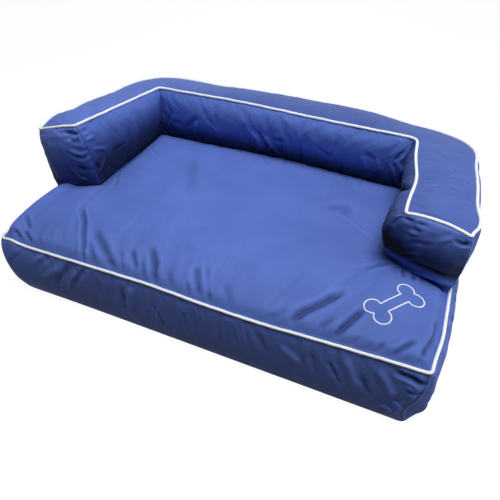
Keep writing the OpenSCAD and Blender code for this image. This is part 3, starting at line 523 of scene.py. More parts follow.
# Folds given one by one: half width and depth in millimetres, a valley below zero and a ridge above
# it, and the points that the fold runs through. They come on top of what the simulation gives.
creases = {
    "base_top_panel": [
        (2.6, -11, [(-324, -175, 188), (-283, -217, 187), (-247, -272, 176), (-235, -295, 152)]),
        (5.0, -6, [(-250, -226, 186), (-200, -263, 180), (-160, -293, 160)]),
        (3.5, -3, [(-246, -258, 180), (-205, -291, 161)]),
        (3.0, -2.5, [(-163, -258, 183), (-140, -291, 163)]),
        (2.9, -5, [(-143, -248, 186), (-112, -284, 174)]),
        (2.9, -2.5, [(-108, -268, 181), (-90, -291, 164)]),
        (3.9, -7, [(-109, -228, 190), (-81, -263, 183), (-67, -292, 162)]),
        (3.8, -2, [(-49, -267, 181), (-30, -291, 163)]),
        (2.4, -2.5, [(-3, -277, 176), (6, -290, 161)]),
        (3.7, -6, [(0, -240, 186), (26, -288, 166)]),
        (2.6, -5, [(18, -232, 186), (52, -292, 160)]),
        (1.9, -5, [(365, -92, 186), (371, -122, 193)]),
        (1.9, -5, [(390, -98, 184), (390, -118, 190)]),
        (4.6, -2, [(67, -253, 181), (89, -286, 167)]),
        (4.4, -2, [(167, -290, 161), (195, -272, 178)]),
        (4.6, -10, [(206, -290, 168), (226, -263, 183), (246, -244, 189), (274, -209, 194)]),
        (3.5, -3, [(259, -286, 174), (274, -262, 186)]),
        (3.5, -9, [(287, -292, 167), (299, -272, 185), (320, -233, 194)]),
        (2.1, -2.5, [(318, -290, 171), (328, -281, 183)]),
        (2.1, -2.5, [(335, -294, 165), (351, -285, 179)]),
        (2.5, -3, [(354, -294, 166), (369, -281, 184)]),
        (2.5, -6, [(384, -292, 171), (396, -281, 184), (414, -258, 188)]),
        (2.6, -8, [(426, -289, 174), (434, -267, 183), (443, -230, 177), (446, -195, 175)]),
        (1.5, -7, [(-424, -240, 183), (-395, -266, 172)]),
        (1.5, -9, [(-400, -275, 168), (-376, -290, 158)]),
        (1.5, -6, [(-424, -280, 169), (-404, -289, 158)]),
        (2.1, -2.5, [(-371, -268, 172), (-342, -291, 156)]),
        (1.5, 2.5, [(274, -137, 196), (321, -100, 193), (349, -68, 178)]),
        (2.9, -3, [(298, -137, 197), (335, -91, 190)]),
        (1.4, 2, [(330, -123, 196), (353, -86, 187)]),
        (1.4, -3, [(363, -73, 177), (372, -110, 190)]),
        (1.4, -2, [(381, -82, 178), (391, -100, 185)]),
        (1.4, -2, [(400, -91, 178), (409, -105, 182)]),
        (1.4, -2, [(423, -77, 171), (428, -100, 175)]),
        (1.4, 3, [(195, 20, 194), (228, 6, 195), (270, -22, 195), (307, -26, 191)]),
        (1.2, 2, [(251, -17, 196), (288, -31, 194), (321, -40, 188)]),
        (6.5, -3, [(177, 29, 194), (214, 43, 195), (228, 20, 195)]),
        (3.0, -2.5, [(-344, -8, 171), (-306, -69, 185)]),
        (8.0, -2, [(-186, 89, 195), (-125, -36, 195)]),
        (2.3, -2, [(196, 200, 173), (232, 140, 193)]),
        (2.5, -2, [(-35, 182, 188), (-6, 145, 194)]),
        (2.5, -2, [(-331, 122, 181), (-275, 71, 192)]),
    ],
    "base_front_band": [
        (3.2, 4, [(-407, -303, 80), (-345, -299, 137)]),
        (5.3, 4, [(-357, -303, 71), (-299, -301, 121)]),
        (3.2, -4, [(-375, -303, 89), (-326, -298, 138)]),
        (4.2, -4, [(-329, -303, 58), (-267, -298, 140)]),
        (3.1, 5, [(-293, -303, 63), (-258, -301, 122)]),
        (3.1, -3, [(-266, -303, 91), (-235, -299, 136)]),
        (5.2, 4, [(-121, -300, 135), (-130, -303, 75)]),
        (3.2, -4, [(-144, -302, 111), (-144, -303, 61)]),
        (1.7, -5, [(-76, -303, 103), (-62, -303, 80), (-54, -302, 47)]),
        (3.0, -2.5, [(70, -300, 127), (78, -303, 59)]),
        (2.9, -2, [(102, -301, 122), (114, -303, 73)]),
        (2.9, -2, [(129, -300, 127), (141, -303, 77)]),
        (3.8, -3, [(152, -300, 127), (173, -303, 83)]),
        (4.6, 3, [(197, -302, 115), (237, -303, 85)]),
        (3.7, -3, [(256, -301, 123), (272, -303, 72)]),
        (2.7, -5, [(288, -302, 120), (305, -303, 87), (317, -303, 69)]),
        (4.5, 4, [(316, -300, 141), (345, -303, 74)]),
        (3.6, -5, [(351, -303, 108), (367, -303, 70)]),
        (4.3, 4, [(371, -300, 143), (409, -304, 85)]),
        (3.3, -10, [(398, -300, 148), (421, -300, 145), (440, -301, 141), (456, -296, 134)]),
        (1.7, -7, [(425, -305, 111), (444, -299, 111), (456, -297, 118)]),
        (2.2, 3, [(418, -303, 122), (436, -302, 122), (450, -299, 128)]),
        (2.1, 3, [(435, -304, 61), (437, -304, 101), (450, -300, 126)]),
        (2.6, -3, [(413, -304, 80), (430, -304, 66)]),
        (2.1, 5, [(434, -301, 41), (436, -301, 61), (442, -300, 76), (451, -298, 111)]),
        (2.7, 4, [(388, -303, 40), (400, -304, 46), (415, -306, 41)]),
        (3.2, -3, [(-203, -301, 119), (-198, -303, 74)]),
        (3.0, -2.5, [(-3, -302, 115), (5, -303, 65)]),
    ],
    "arm_front_panel_left": [
        (2.2, -4, [(-384, -107, 326), (-361, -104, 321), (-349, -95, 323)]),
        (2.7, 3, [(-378, -114, 301), (-356, -102, 316)]),
        (2.2, 3.5, [(-377, -114, 281), (-357, -100, 269), (-346, -85, 276)]),
        (2.3, -3, [(-377, -112, 270), (-358, -98, 259), (-346, -83, 266)]),
        (2.3, 3, [(-377, -111, 260), (-359, -95, 249), (-347, -81, 256)]),
        (4.1, -4, [(-378, -105, 235), (-365, -90, 222)]),
        (2.4, 4, [(-390, -108, 229), (-389, -96, 199), (-378, -81, 186)]),
    ],
    "bolster_inner_panel_left": [
        (2.2, -3, [(-349, -95, 323), (-346, -75, 322)]),
        (2.2, 3, [(-346, -91, 303), (-342, -67, 301)]),
        (2.3, 3, [(-345, -78, 276), (-340, -40, 259)]),
        (2.4, 3.5, [(-354, -69, 203), (-351, -56, 214), (-345, -46, 234)]),
        (3.5, -3, [(-351, -72, 219), (-348, -68, 235)]),
        (3.0, -2, [(-339, -21, 243), (-333, 20, 242)]),
    ],
    "bolster_inner_panel_back": [
        (2.7, -3, [(-293, 168, 288), (-287, 170, 260), (-312, 181, 227)]),
        (3.9, -3, [(-297, 176, 237), (-264, 175, 237)]),
        (3.8, -4, [(-254, 178, 227), (-211, 169, 264)]),
        (2.1, 3, [(-212, 170, 255), (-228, 183, 213)]),
        (3.8, -2.5, [(-178, 168, 269), (-164, 172, 246)]),
        (3.2, 4, [(-62, 168, 260), (-47, 175, 237), (-37, 187, 209)]),
        (3.1, -4, [(-41, 167, 264), (-20, 182, 218)]),
        (3.2, 4, [(-25, 168, 255), (-9, 178, 227), (7, 192, 199)]),
        (3.6, -4, [(-4, 169, 250), (24, 168, 250)]),
        (3.5, -2.5, [(111, 165, 255), (144, 169, 237)]),
        (3.5, 2.5, [(214, 161, 260), (233, 169, 227)]),
        (3.4, -2.5, [(224, 159, 269), (247, 161, 255)]),
        (2.9, 2.5, [(246, 159, 264), (266, 168, 227)]),
        (1.9, 4, [(278, 160, 260), (292, 166, 232), (311, 182, 190)]),
        (2.7, -4, [(289, 159, 264), (302, 160, 288)]),
        (2.3, 3.5, [(294, 160, 264), (311, 167, 237)]),
    ],
    "bolster_inner_panel_right": [
        (4.6, -6, [(321, 69, 250), (321, 48, 264), (323, 28, 283), (326, 8, 297),
                    (333, -6, 311), (346, -12, 320)]),
        (1.9, 3, [(329, 38, 301), (347, 20, 320)]),
        (2.2, -3, [(324, 18, 250), (328, 111, 204)]),
    ],
    "bolster_top_panel": [
        (1.3, 1.6, [(343, 126, 325), (375, 127, 327), (407, 117, 323), (425, 110, 318)]),
        (1.2, 1.2, [(347, 91, 325), (367, 103, 327)]),
        (1.2, 1.6, [(348, 56, 324), (384, 77, 327), (402, 69, 325), (422, 54, 321)]),
        (1.4, -1.6, [(352, 33, 324), (380, 45, 328), (407, 42, 325)]),
        (1.2, 1.8, [(388, 26, 328), (414, 50, 324), (437, 38, 317)]),
        (1.3, -1.6, [(355, 14, 324), (376, 14, 328)]),
        (1.2, 1.4, [(355, -13, 324), (382, -5, 328)]),
        (1.3, -1.4, [(359, -32, 326), (378, -25, 329)]),
        (1.5, -1.5, [(400, 93, 325), (429, 70, 318), (442, 35, 316)]),
        (2.2, -2, [(-364, -67, 340), (-355, -23, 337)]),
        (2.2, -2, [(-385, -96, 336), (-377, -56, 341)]),
        (3.0, -1.5, [(-348, 28, 334), (-339, 68, 330)]),
    ],
    "base_right_band": [
        (1.8, 4, [(458, -278, 125), (454, -280, 80), (450, -280, 40)]),
        (2.0, -4, [(462, -268, 70), (456, -270, 30)]),
    ],
    "arm_front_panel_right": [
        (4.6, 6, [(355, -72, 190), (378, -80, 183), (402, -93, 191), (426, -101, 194),
                  (458, -100, 187)]),
        (1.8, 5, [(340, -75, 208), (354, -90, 221), (379, -109, 248)]),
        (3.6, -5, [(352, -84, 210), (396, -104, 219), (440, -109, 216)]),
        (2.1, -5, [(427, -115, 302), (447, -113, 293), (462, -105, 294)]),
        (2.1, -6, [(340, -100, 315), (356, -107, 312), (376, -115, 297)]),
        (1.7, 3, [(351, -106, 312), (372, -113, 302)]),
        (1.7, -3.5, [(361, -108, 312), (379, -111, 312)]),
        (1.7, 3, [(346, -106, 293), (365, -113, 292), (380, -115, 297)]),
        (2.2, 4, [(347, -87, 222), (368, -106, 244), (386, -113, 252)]),
        (2.5, 3, [(408, -118, 289), (425, -114, 301), (444, -110, 296)]),
        (2.3, 3.5, [(368, -86, 197), (406, -104, 208), (438, -104, 201)]),
        (2.6, -3, [(349, -102, 259), (373, -114, 277), (397, -118, 280)]),
    ],
}


def creased(p, rows):
    # each fold moves the cloth by depth * exp(-(t / width)^2), t away from its line, and pushes it
    # the other way beside that; it fades out at both ends and at the panel's edges
    shift = np.zeros(p.shape[:2])
    for width, depth, points in rows:
        line = np.array(points, float) * mm
        run = runLengths(line)
        away, along = np.full(p.shape[:2], np.inf), np.zeros(p.shape[:2])
        for start, end, before in zip(line[:-1], line[1:], run):
            d = end - start
            t = np.clip(((p - start) @ d) / (d @ d), 0, 1)
            far = np.linalg.norm(p - start - t[..., None] * d, axis=-1)
            closer = far < away
            away = np.where(closer, far, away)
            along = np.where(closer, before + t * np.linalg.norm(d), along)
        share = along / run[-1]
        w = max(width * fold["broader"], fold["least width"]) * mm
        shape = np.exp(-(away / w) ** 2) - fold["beside"] * np.exp(-((away - 2 * w) / w) ** 2)
        shift += depth * mm * shape * fadeIn(share, fold["start"]) * fadeIn(share, fold["end"])
    shift *= smooth(fromEdge(p) / fold["edge"])
    return p + gridNormals(p) * shift[..., None], shift / mm


def finer(p, times):  # more points between those of a grid, on Catmull-Rom curves
    for turn in range(2):
        n = len(p)
        wide = np.concatenate([2 * p[:1] - p[1:2], p, 2 * p[-1:] - p[-2:-1]])
        x = np.linspace(0, n - 1, int(n * times))
        i = np.minimum(x.astype(int), n - 2)
        t = (x - i)[:, None, None]
        a, b, c, d = wide[i], wide[i + 1], wide[i + 2], wide[i + 3]
        p = b + t / 2 * (c - a + t * (2 * a - 5 * b + 4 * c - d + t * (3 * b - a - 3 * c + d)))
        p = p.swapaxes(0, 1)
    return p


fold = {"least width": 3.2, "beside": 0.2, "broader": 1.6, "start": (-0.05, 0.3),
        "end": (1.12, -0.3), "edge": 3}
finerSteps = dict.fromkeys(panels, 1.6)
finerSteps["base_top_panel"] = 1.38  # keeps the seat under 200,000 triangles
shapes = {name: panels[name] + foldsOnly(name, panels[name], shape)
          for name, shape in (simulateCloth()).items()}
print("cloth simulated on", len(shapes), "panels")
shaped, foldDepths = {}, {}
for name, p in panels.items():
    shaped[name], foldDepths[name] = creased(
        finer(shapes.get(name, p), finerSteps[name]), creases.get(name, ()))
print("folds placed")


# Materials

def linear(code):  # sRGB hex to linear colour
    c = np.array([int(code[k:k + 2], 16) for k in (1, 3, 5)]) / 255
    return (*np.where(c <= 0.04045, c / 12.92, ((c + 0.055) / 1.055) ** 2.4).tolist(), 1.0)


def addNode(tree, kind, links=(), **settings):
    # links: (own input, other node, its output); settings: a socket's or the node's own value
    node = tree.nodes.new("ShaderNode" + kind)
    for key, value in settings.items():
        if hasattr(node, key):
            setattr(node, key, value)
    for key, value in settings.items():
        if not hasattr(node, key):
            node.inputs[key.replace("_", " ")].default_value = value
    for own, other, output in links:
        tree.links.new(other.outputs[output], node.inputs[own])
    return node


def newMaterial(name):
    material = bpy.data.materials.new(name)
    material.use_nodes = True
    material.node_tree.nodes.clear()
    return material, material.node_tree


def finishMaterial(tree, shader):
    addNode(tree, "OutputMaterial", [("Surface", shader, 0)])


def waveScale(thread, bands=6.2832):
    # thread: the width of a band in millimetres; bands: about how many a wave texture has to 1 m
    return 1 / (thread * mm) / bands


def ramp(tree, source, stops):  # colours at places from 0 to 1
    tones = addNode(tree, "ValToRGB", [("Fac", source, "Fac")])
    elements = tones.color_ramp.elements
    for element, (place, code) in zip((elements[0], elements[1]), (stops[0], stops[-1])):
        element.position, element.color = place, linear(code)
    for place, code in stops[1:-1]:
        elements.new(place).color = linear(code)
    return tones


# Woven polyester, dyed in the piece, plain weave of about 30 threads per cm. The eye gets a smooth
# even blue with a faint sheen towards the rims. Threads of 0.33 mm would not show: drawn at 1.1 mm.
# Its colour is darkened by painted shade, kept on each point.
polyester = {"blue": "#5C76C6", "paler": "#607ACB", "deeper": "#5872C1", "thread": 1.1,
             "weave depth": 0.10, "roughness": 0.6, "sheen": 0.03, "specular": 0.12,
             "paintedShade": 0.15}


def wovenPolyester():
    material, tree = newMaterial("woven polyester, piece dyed")
    place = addNode(tree, "TexCoord")
    across, along = (addNode(tree, "TexWave", [("Vector", place, "UV")], bands_direction=axis,
                             Scale=waveScale(polyester["thread"]), Distortion=0.6, Detail=1.0,
                             Detail_Scale=0.4) for axis in "XY")
    weave = addNode(tree, "Math", [(0, across, "Fac"), (1, along, "Fac")], operation="MULTIPLY")
    cloudy = addNode(tree, "TexNoise", [("Vector", place, "Object")], Scale=14.0, Detail=3.0,
                     Roughness=0.55)
    slub = addNode(tree, "TexNoise", [("Vector", place, "UV")], Scale=420.0, Detail=2.0)
    tones = ramp(tree, cloudy, [(0.3, polyester["deeper"]), (0.5, polyester["blue"]),
                                (0.7, polyester["paler"])])
    flecks = addNode(tree, "MapRange", [("Value", slub, "Fac")], To_Min=0.94, To_Max=1.06)
    flecked = addNode(tree, "VectorMath", [(0, tones, "Color"), (1, flecks, "Result")],
                      operation="MULTIPLY")
    # painted shade: the colour is multiplied down by the shade painted on each point
    paintedShade = addNode(tree, "Attribute", attribute_name="shade")
    darker = addNode(tree, "MapRange", [("Value", paintedShade, "Fac")], clamp=False, To_Min=1.0,
                     To_Max=polyester["paintedShade"])
    colour = addNode(tree, "VectorMath", [(0, flecked, "Vector"), (1, darker, "Result")],
                     operation="MULTIPLY")
    relief = addNode(tree, "Bump", [("Height", weave, "Value")],
                     Strength=0.35, Distance=polyester["weave depth"] * mm)
    shader = addNode(tree, "BsdfPrincipled",
                     [("Base Color", colour, "Vector"), ("Normal", relief, "Normal")],
                     Roughness=polyester["roughness"], Sheen_Weight=polyester["sheen"],
                     Sheen_Roughness=0.45, IOR=1.46)
    shader.inputs["Specular IOR Level"].default_value = polyester["specular"]
    finishMaterial(tree, shader)
    return material


# The other finishes take one or two textures: the first mixes the colours and the last stands out,
# by the relief's strength and millimetres. "UV" is metres along the cloth.
finishes = {
    # Bias-cut cotton tape sewn over a cord. The eye gets a matt white roll with slanting threads,
    # drawn at 1.4 mm; the dimples at its stitches are in the piping's shape.
    "cotton bias tape, woven": {
        "stops": [(0.32, "#F1F6FB"), (0.58, "#FBFEFF")], "relief": (0.5, 0.15),
        "textures": [("TexNoise", "Object", {"Scale": 45.0, "Detail": 4.0}),
                     ("TexWave", "UV", {"bands_direction": "DIAGONAL", "Scale": waveScale(1.4),
                                        "Distortion": 0.8, "Detail": 1.0})],
        "look": {"Roughness": 0.85, "Sheen_Weight": 0.1, "IOR": 1.46}},
    # Plain hard-wearing polyester of the underside, a coarser basket weave of threads of 0.7 mm,
    # drawn at 1.6 mm. The eye gets a dull dark blue with a visible grid.
    "polyester underside, basket weave": {
        "stops": [(0.35, "#35487F"), (0.65, "#3F5493")], "relief": (0.4, 0.2),
        "textures": [("TexNoise", "Object", {"Scale": 30.0, "Detail": 5.0}),
                     ("TexChecker", "UV", {"Scale": 1 / (1.6 * mm)})],
        "look": {"Roughness": 0.8, "IOR": 1.46}},
    # Hollow siliconised polyester fibre, carded. The eye gets soft white tufts of 10 to 30 mm.
    "hollow polyester fibre, carded": {
        "stops": [(0.3, "#D8DADF"), (0.6, "#F4F5F7")], "relief": (0.8, 3),
        "textures": [("TexNoise", "Object", {"Scale": 60.0, "Detail": 8.0, "Roughness": 0.7,
                                             "Distortion": 1.2})],
        "look": {"Roughness": 0.95, "Sheen_Weight": 0.3}},
    # Zip tape: polyester woven in a herringbone of about 1 mm, drawn at 1.5 mm, dyed to match
    "polyester zip tape, herringbone": {
        "stops": [(0, "#33467F"), (1, "#43599C")], "relief": (0.4, 0.15),
        "textures": [("TexWave", "Object", {"bands_direction": "DIAGONAL", "wave_profile": "TRI",
                                            "Scale": 106.0})],
        "look": {"Roughness": 0.75, "IOR": 1.46}},
    # Zip coil: nylon 6 drawn into a wire and wound. The eye gets a smooth wire with a small
    # highlight.
    "nylon zip coil, drawn and wound": {
        "stops": [(0, "#2C3E78"), (1, "#3E5396")], "relief": (0.15, 0.05),
        "textures": [("TexNoise", "Object", {"Scale": 900.0, "Detail": 2.0})],
        "look": {"Roughness": 0.35, "IOR": 1.53}},
    # Slider, pull and stops: zinc alloy, die cast, tumbled and nickel plated. The eye gets a soft
    # metal gleam with fine random scratches about 0.3 mm apart, drawn at 0.8 mm.
    "zinc alloy, die cast and nickel plated": {
        "stops": [(0, "#A9A7A1"), (1, "#C9C7C0")], "relief": (0.15, 0.03),
        "stretched": (250, 1200, 1200), "roughness": (0.22, 0.42),
        "textures": [("TexNoise", "Object", {"Scale": 1.0, "Detail": 3.0})],
        "look": {"Metallic": 1.0}},
    # Embroidery: trilobal rayon thread of 0.4 mm, satin stitched. The eye gets a bright silky
    # white.
    "rayon thread, satin stitched": {
        "stops": [(0, "#E2E6F2"), (1, "#FAFAFD")], "relief": (0.3, 0.08),
        "textures": [("TexNoise", "Object", {"Scale": 700.0, "Detail": 2.0})],
        "look": {"Roughness": 0.38, "Sheen_Weight": 0.2, "IOR": 1.5}},
    # Sewing thread: spun polyester, two-ply, dyed to match. The eye gets a slightly paler dash.
    "polyester sewing thread, spun": {
        "stops": [(0, "#5068B8"), (1, "#7389D2")], "relief": (0.3, 0.08),
        "textures": [("TexNoise", "Object", {"Scale": 600.0, "Detail": 2.0})],
        "look": {"Roughness": 0.6, "IOR": 1.5}},
}


def finishOf(name, facts):
    material, tree = newMaterial(name)
    place = addNode(tree, "TexCoord")
    nodes = []
    for kind, space, settings in facts["textures"]:
        vector = (place, space)
        if "stretched" in facts:
            vector = (addNode(tree, "Mapping", [("Vector", *vector)], Scale=facts["stretched"]),
                      "Vector")
        nodes.append(addNode(tree, kind, [("Vector", *vector)], **settings))
    strength, height = facts["relief"]
    relief = addNode(tree, "Bump", [("Height", nodes[-1], "Fac")], Strength=strength,
                     Distance=height * mm)
    links = [("Base Color", ramp(tree, nodes[0], facts["stops"]), "Color"),
             ("Normal", relief, "Normal")]
    if "roughness" in facts:
        smoothest, dullest = facts["roughness"]
        links.append(("Roughness", addNode(tree, "MapRange", [("Value", nodes[0], "Fac")],
                                           To_Min=smoothest, To_Max=dullest), "Result"))
    finishMaterial(tree, addNode(tree, "BsdfPrincipled", links, **facts["look"]))
    return material


coverCloth = wovenPolyester()
pipingCloth, underCloth, fibre, tape, coil, metal, silk, thread = (
    finishOf(name, facts) for name, facts in finishes.items())
print("materials made")


def addPiece(piece, material, slotName, *nodes):
    piece.data.materials.append(material)
    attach(piece, "bed")
    if nodes:
        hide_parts(*nodes)
    return piece


# Cover panels: two layers 1.2 mm apart, closed by a rim that ends inside the piping or the seam
panelCloth = {"thickness": 1.2, "allowance": 1.2, "groove": 0.9, "most of a cell": 0.45}


# Painted shade: the cloth is painted darker at the foot of the walls, where shade falls. At the
# foot of a wall: the share of the height where the darkening starts to fade, where it ends, and how
# much.
paintedFootShade = {
    "bolster_inner_panel_left": (0.28, 1.0, 1.0), "bolster_inner_panel_back": (0.22, 0.58, 0.97),
    "bolster_inner_panel_right": (0.45, 1.5, 1.03), "arm_front_panel_left": (0.2, 0.95, 0.8),
    "arm_front_panel_right": (0.42, 0.98, 1.06), "base_left_band": (0, 0.6, 0.3),
    "base_front_band": (0, 0.6, 0.35), "base_right_band": (0, 0.5, 0.2),
}
# More painted shade added to that where less light falls, and a painted highlight where the amount
# is below zero: an amount and the fades that multiply it, each with its direction on the panel (0
# is along the foot, 1 up the wall; on the seat, 0 is to the right and 1 to the back) and the shares
# where it starts and where it is full
shadows = {
    "arm_front_panel_left": [(-0.25, (0, 0.88, 1))],   # painted highlight: paler along its inner seam, against the shade that falls there
    "arm_front_panel_right": [(0.5, (0, 0.5, 0), (1, 0.3, 0.6), (1, 1, 0.9))],
    "bolster_inner_panel_right": [(0.25, (0, 0.8, 0.9), (1, 0.95, 0.8))],
    "bolster_top_panel": [(0.33, (0, 0.2, 0.45))],
    "base_top_panel": [(0.12, (0, 0.55, 0.85)), (0.15, (1, 0.25, 0))],
}
# Painted light: the painted shade is lifted at the foot of the right arm's front, which rolls
# forward and catches the light, and at the corner at the front band's left end
lit = {"arm_front_panel_right": (1, 0.24, 0.36), "base_front_band": (0, 0, 0.12)}
# Painted shade in the bolster's inner corners and a painted darker hill on its top: corners gives
# where the corner is along each arm's wall; shading holds how the painted foot shade sways, how
# dark the painted corner shade is and its reach, and the painted hill
corners = {"left": 1, "right": 0}   # the share along the foot of an arm's wall at the back
shading = {"sway": 0.03, "corner": 0.6, "corner reach": 0.05, "top hill": (0.12, 0.62, 0.12)}
# Painted shade in the hollows of folds and a painted highlight on their ridges: the reach of the
# mean, how much darker per millimetre of hollow, the most, how much paler at most, how much darker
# per millimetre of a listed fold, and the rows beside the seams left out
hollow = {"reach": 12.0, "darker": 0.05, "most": 0.5, "paler": 0.12, "placed": 0.07, "edge": 4}


def hollows(p, times):
    # how far each point lies under the mean of the cloth round it, along the normal, in
    # millimetres; 0 beside the seams
    level = blurred(blurred(p, hollow["reach"] * times, 0), hollow["reach"] * times, 1)
    return ((level - p) * gridNormals(p)).sum(-1) / mm * smooth(fromEdge(p) / hollow["edge"])


def paintedShading(name, p, times):
    # painted shade: how dark each point is painted, from 0 to about 1; the ridges of folds get a
    # painted highlight, a little paler
    u, v = np.meshgrid(*(np.linspace(0, 1, n) for n in p.shape[:2]), indexing="ij")

    def fade(direction, start, full):
        return smooth(((u, v)[direction] - start) / (full - start))
    low, high, strength = paintedFootShade.get(name, (0, 1, 0))
    sway = shading["sway"] * (np.sin(19 * u) + np.sin(43 * u + 1)) * (high - low)
    paintedShade = strength * (1 - smooth((v + sway - low) / (high - low)))
    # painted light: the painted shade is lifted where light catches the cloth
    if name in lit:
        paintedShade *= fade(*lit[name])
    # painted shade in the inner corners of the bolster
    if "inner_panel" in name:
        back = np.abs(u - corners[name.split("_")[-1]]) if "back" not in name else \
            np.minimum(u, 1 - u) * 2
        paintedShade = np.maximum(paintedShade,
                            shading["corner"] * (1 - smooth(back / shading["corner reach"])))
    # more painted shade, and painted highlight, from the shadows table
    for amount, *fades in shadows.get(name, ()):
        for facts in fades:
            amount = amount * fade(*facts)
        paintedShade += amount
    # a painted darker hill on the bolster's top, where less light falls
    if name == "bolster_top_panel":
        paintedShade += hill(u, shading["top hill"])
    # painted shade in the hollows of folds and a painted highlight on their ridges
    folds = hollows(p, times) * hollow["darker"] - foldDepths.get(name, 0) * hollow["placed"]
    return paintedShade + np.clip(folds, -hollow["paler"], hollow["most"])


def thinSheet(name, p, material, slotName, times=1.0):
    # name: the CAD node that the sheet replaces. Returns the piece and its flat size in metres,
    # rounded up.
    rows, columns = p.shape[:2]
    # painted shade of each point, kept on the mesh
    paintedShade = paintedShading(name, p, times)
    n = gridNormals(p)
    onlyTop = any(part in name for part in ("band", "inner_panel", "outer_panel", "front_panel"))
    piped = ("end",) if onlyTop else ("first", "last", "start", "end")
    for edge, inside, side in (((0,), (1,), "first"), ((-1,), (-2,), "last"),
                               ((slice(None), 0), (slice(None), 1), "start"),
                               ((slice(None), -1), (slice(None), -2), "end")):
        if side in piped:      # the edge ends inside the piping
            step = p[inside] - p[edge]
            far = np.linalg.norm(step, axis=-1, keepdims=True)
            p[edge] += step * np.minimum(panelCloth["allowance"] * mm / far,
                                         panelCloth["most of a cell"])
        elif "_left" not in name:  # the edge is drawn in by a plain seam; on the left none shows
            p[edge] -= n[edge] * panelCloth["groove"] * mm
    points = np.stack([p, p - n * panelCloth["thickness"] * mm])
    outer = gridFaces(rows, columns)
    inner = gridFaces(rows, columns, rows * columns)[:, ::-1]
    rim = rimOf(rows, columns)
    after = np.roll(rim, -1)
    rimFaces = np.stack([rim, after, after + rows * columns, rim + rows * columns], -1)
    uv = patchUv(p)
    smoothFaces = np.arange(2 * len(outer) + len(rim)) < 2 * len(outer)  # the rim is flat
    piece = makeObject("cover_" + name, points, outer, inner, rimFaces, uv=np.stack([uv, uv]),
                       smoothFaces=smoothFaces, shade=np.stack([paintedShade, paintedShade]))
    addPiece(piece, material, slotName, name)
    flat = tuple(round(float(lengthsAlong(p, k).max()) + 0.0005, 3) for k in (0, 1))
    return piece, flat


for name, p in shaped.items():
    piece, flat = thinSheet(name, p.copy(), coverCloth, "cover_cloth", finerSteps[name])
print("cover panels sewn")


# Piping: a round tube along a seam. Rings of points stand square to the path.
piping = {"radius": 3.0, "sides": 14, "step": 2.4, "waver": 0.4, "waves": (37, 61, 89, 127, 173),
          "phase": 1.7, "dimple": 0.18, "stitch": 3.2, "corner": 6.5, "proud": 1.3}


def resampled(path, step, closed):
    loop = np.concatenate([path, path[:1]]) if closed else path
    length = runLengths(loop)
    count = int(round(length[-1] / step))
    s = np.linspace(0, length[-1], count + (not closed), endpoint=not closed)
    return pointsAt(s, length, loop)


def roundedLoop(path, reach, step):  # closed path with its sharp corners rounded by a mean
    n = max(1, int(reach * mm / step))
    wide = np.concatenate([path[-n:], path, path[:n]])
    return np.stack([np.convolve(wide[:, k], softKernel(n), "valid") for k in range(3)], -1)


def tube(path, radius, sides, closed, up=(0, 0, 1)):
    # path + radius * (cos a * side + sin a * over); side and over stand square to the path
    before, after = (np.roll(path, 1, 0), np.roll(path, -1, 0)) if closed else \
        (np.concatenate([path[:1], path[:-1]]), np.concatenate([path[1:], path[-1:]]))
    ahead = unit(after - before)
    side = unit(np.cross(ahead, up))
    over = np.cross(side, ahead)
    a = np.arange(sides) * 2 * np.pi / sides
    radius = np.broadcast_to(radius, (len(path),))[:, None, None]
    return path[:, None] + radius * (np.cos(a)[None, :, None] * side[:, None]
                                     + np.sin(a)[None, :, None] * over[:, None])


def tubeFaces(rings, sides, closed, first=0):
    ids = first + np.arange(rings * sides).reshape(rings, sides)
    here = ids if closed else ids[:-1]
    nextRing = np.roll(ids, -1, 0) if closed else ids[1:]
    return np.stack([here, np.roll(here, -1, 1), np.roll(nextRing, -1, 1), nextRing],
                    -1).reshape(-1, 4)


def makePiping(name, path, node):
    step = piping["step"] * mm
    path = resampled(path, step, True)
    ahead = np.roll(path, -3, 0) - np.roll(path, 3, 0)
    proud = unit(np.stack([ahead[:, 1], -ahead[:, 0], 0 * ahead[:, 0]], -1))  # out of the seam
    path = path + (proud + [0, 0, 1]) * piping["proud"] * mm / 1.414   # at 45 degrees
    path = roundedLoop(path, piping["corner"], step)
    path = resampled(path, step, True)
    # its height wavers by a sum of sines round the loop, and its radius dips at each stitch
    s = np.arange(len(path)) * 2 * np.pi / len(path)
    phases = np.arange(len(piping["waves"])) * piping["phase"] + len(path)
    sway = sum(np.sin(k * s + phase) / (i + 2) for i, (k, phase) in
               enumerate(zip(piping["waves"], phases)))
    path[:, 2] += piping["waver"] * mm * sway
    stitch = 2 * np.pi * np.arange(len(path)) * piping["step"] / piping["stitch"] / 2
    radius = (piping["radius"] + piping["dimple"] * np.sin(stitch)) * mm
    rings = tube(path, radius, piping["sides"], True)
    along = np.arange(len(path)) * step
    around = np.arange(piping["sides"]) * 2 * np.pi * piping["radius"] * mm / piping["sides"]
    uv = np.stack(np.broadcast_arrays(along[:, None], around[None]), -1)
    piece = makeObject(name, rings, tubeFaces(len(path), piping["sides"], True), uv=uv)
    addPiece(piece, pipingCloth, "piping_cloth", node)


topEdge = shaped["bolster_top_panel"]
makePiping("piping_base", baseSeam(np.linspace(0, 1, 1200, endpoint=False)), "base_piping")
makePiping("piping_bolster", topEdge.reshape(-1, 3)[rimOf(*topEdge.shape[:2])], "bolster_piping")
print("piping laid")


# Fillings: closed crowned cushions a few millimetres inside the cover. Each kind of rows: the
# shares where they start and end, and how many. The front gap is a share of the bolster's length,
# which is given in metres.
filling = {"gap": 8.0, "band gap": 16.0, "crown gap": 18.0, "foot gap": 4, "mitre gap": 2.0,
           "length": 1.6, "front gap": 0.012, "steps": 120, "band rows": (0.04, 0.97, 12),
           "flat rows": (0.02, 0.98, 24), "wall rows": (0, 1, 14), "top rows": (0, 1, 12),
           "round rows": 4, "round from": 0.3, "end size": 0.9}


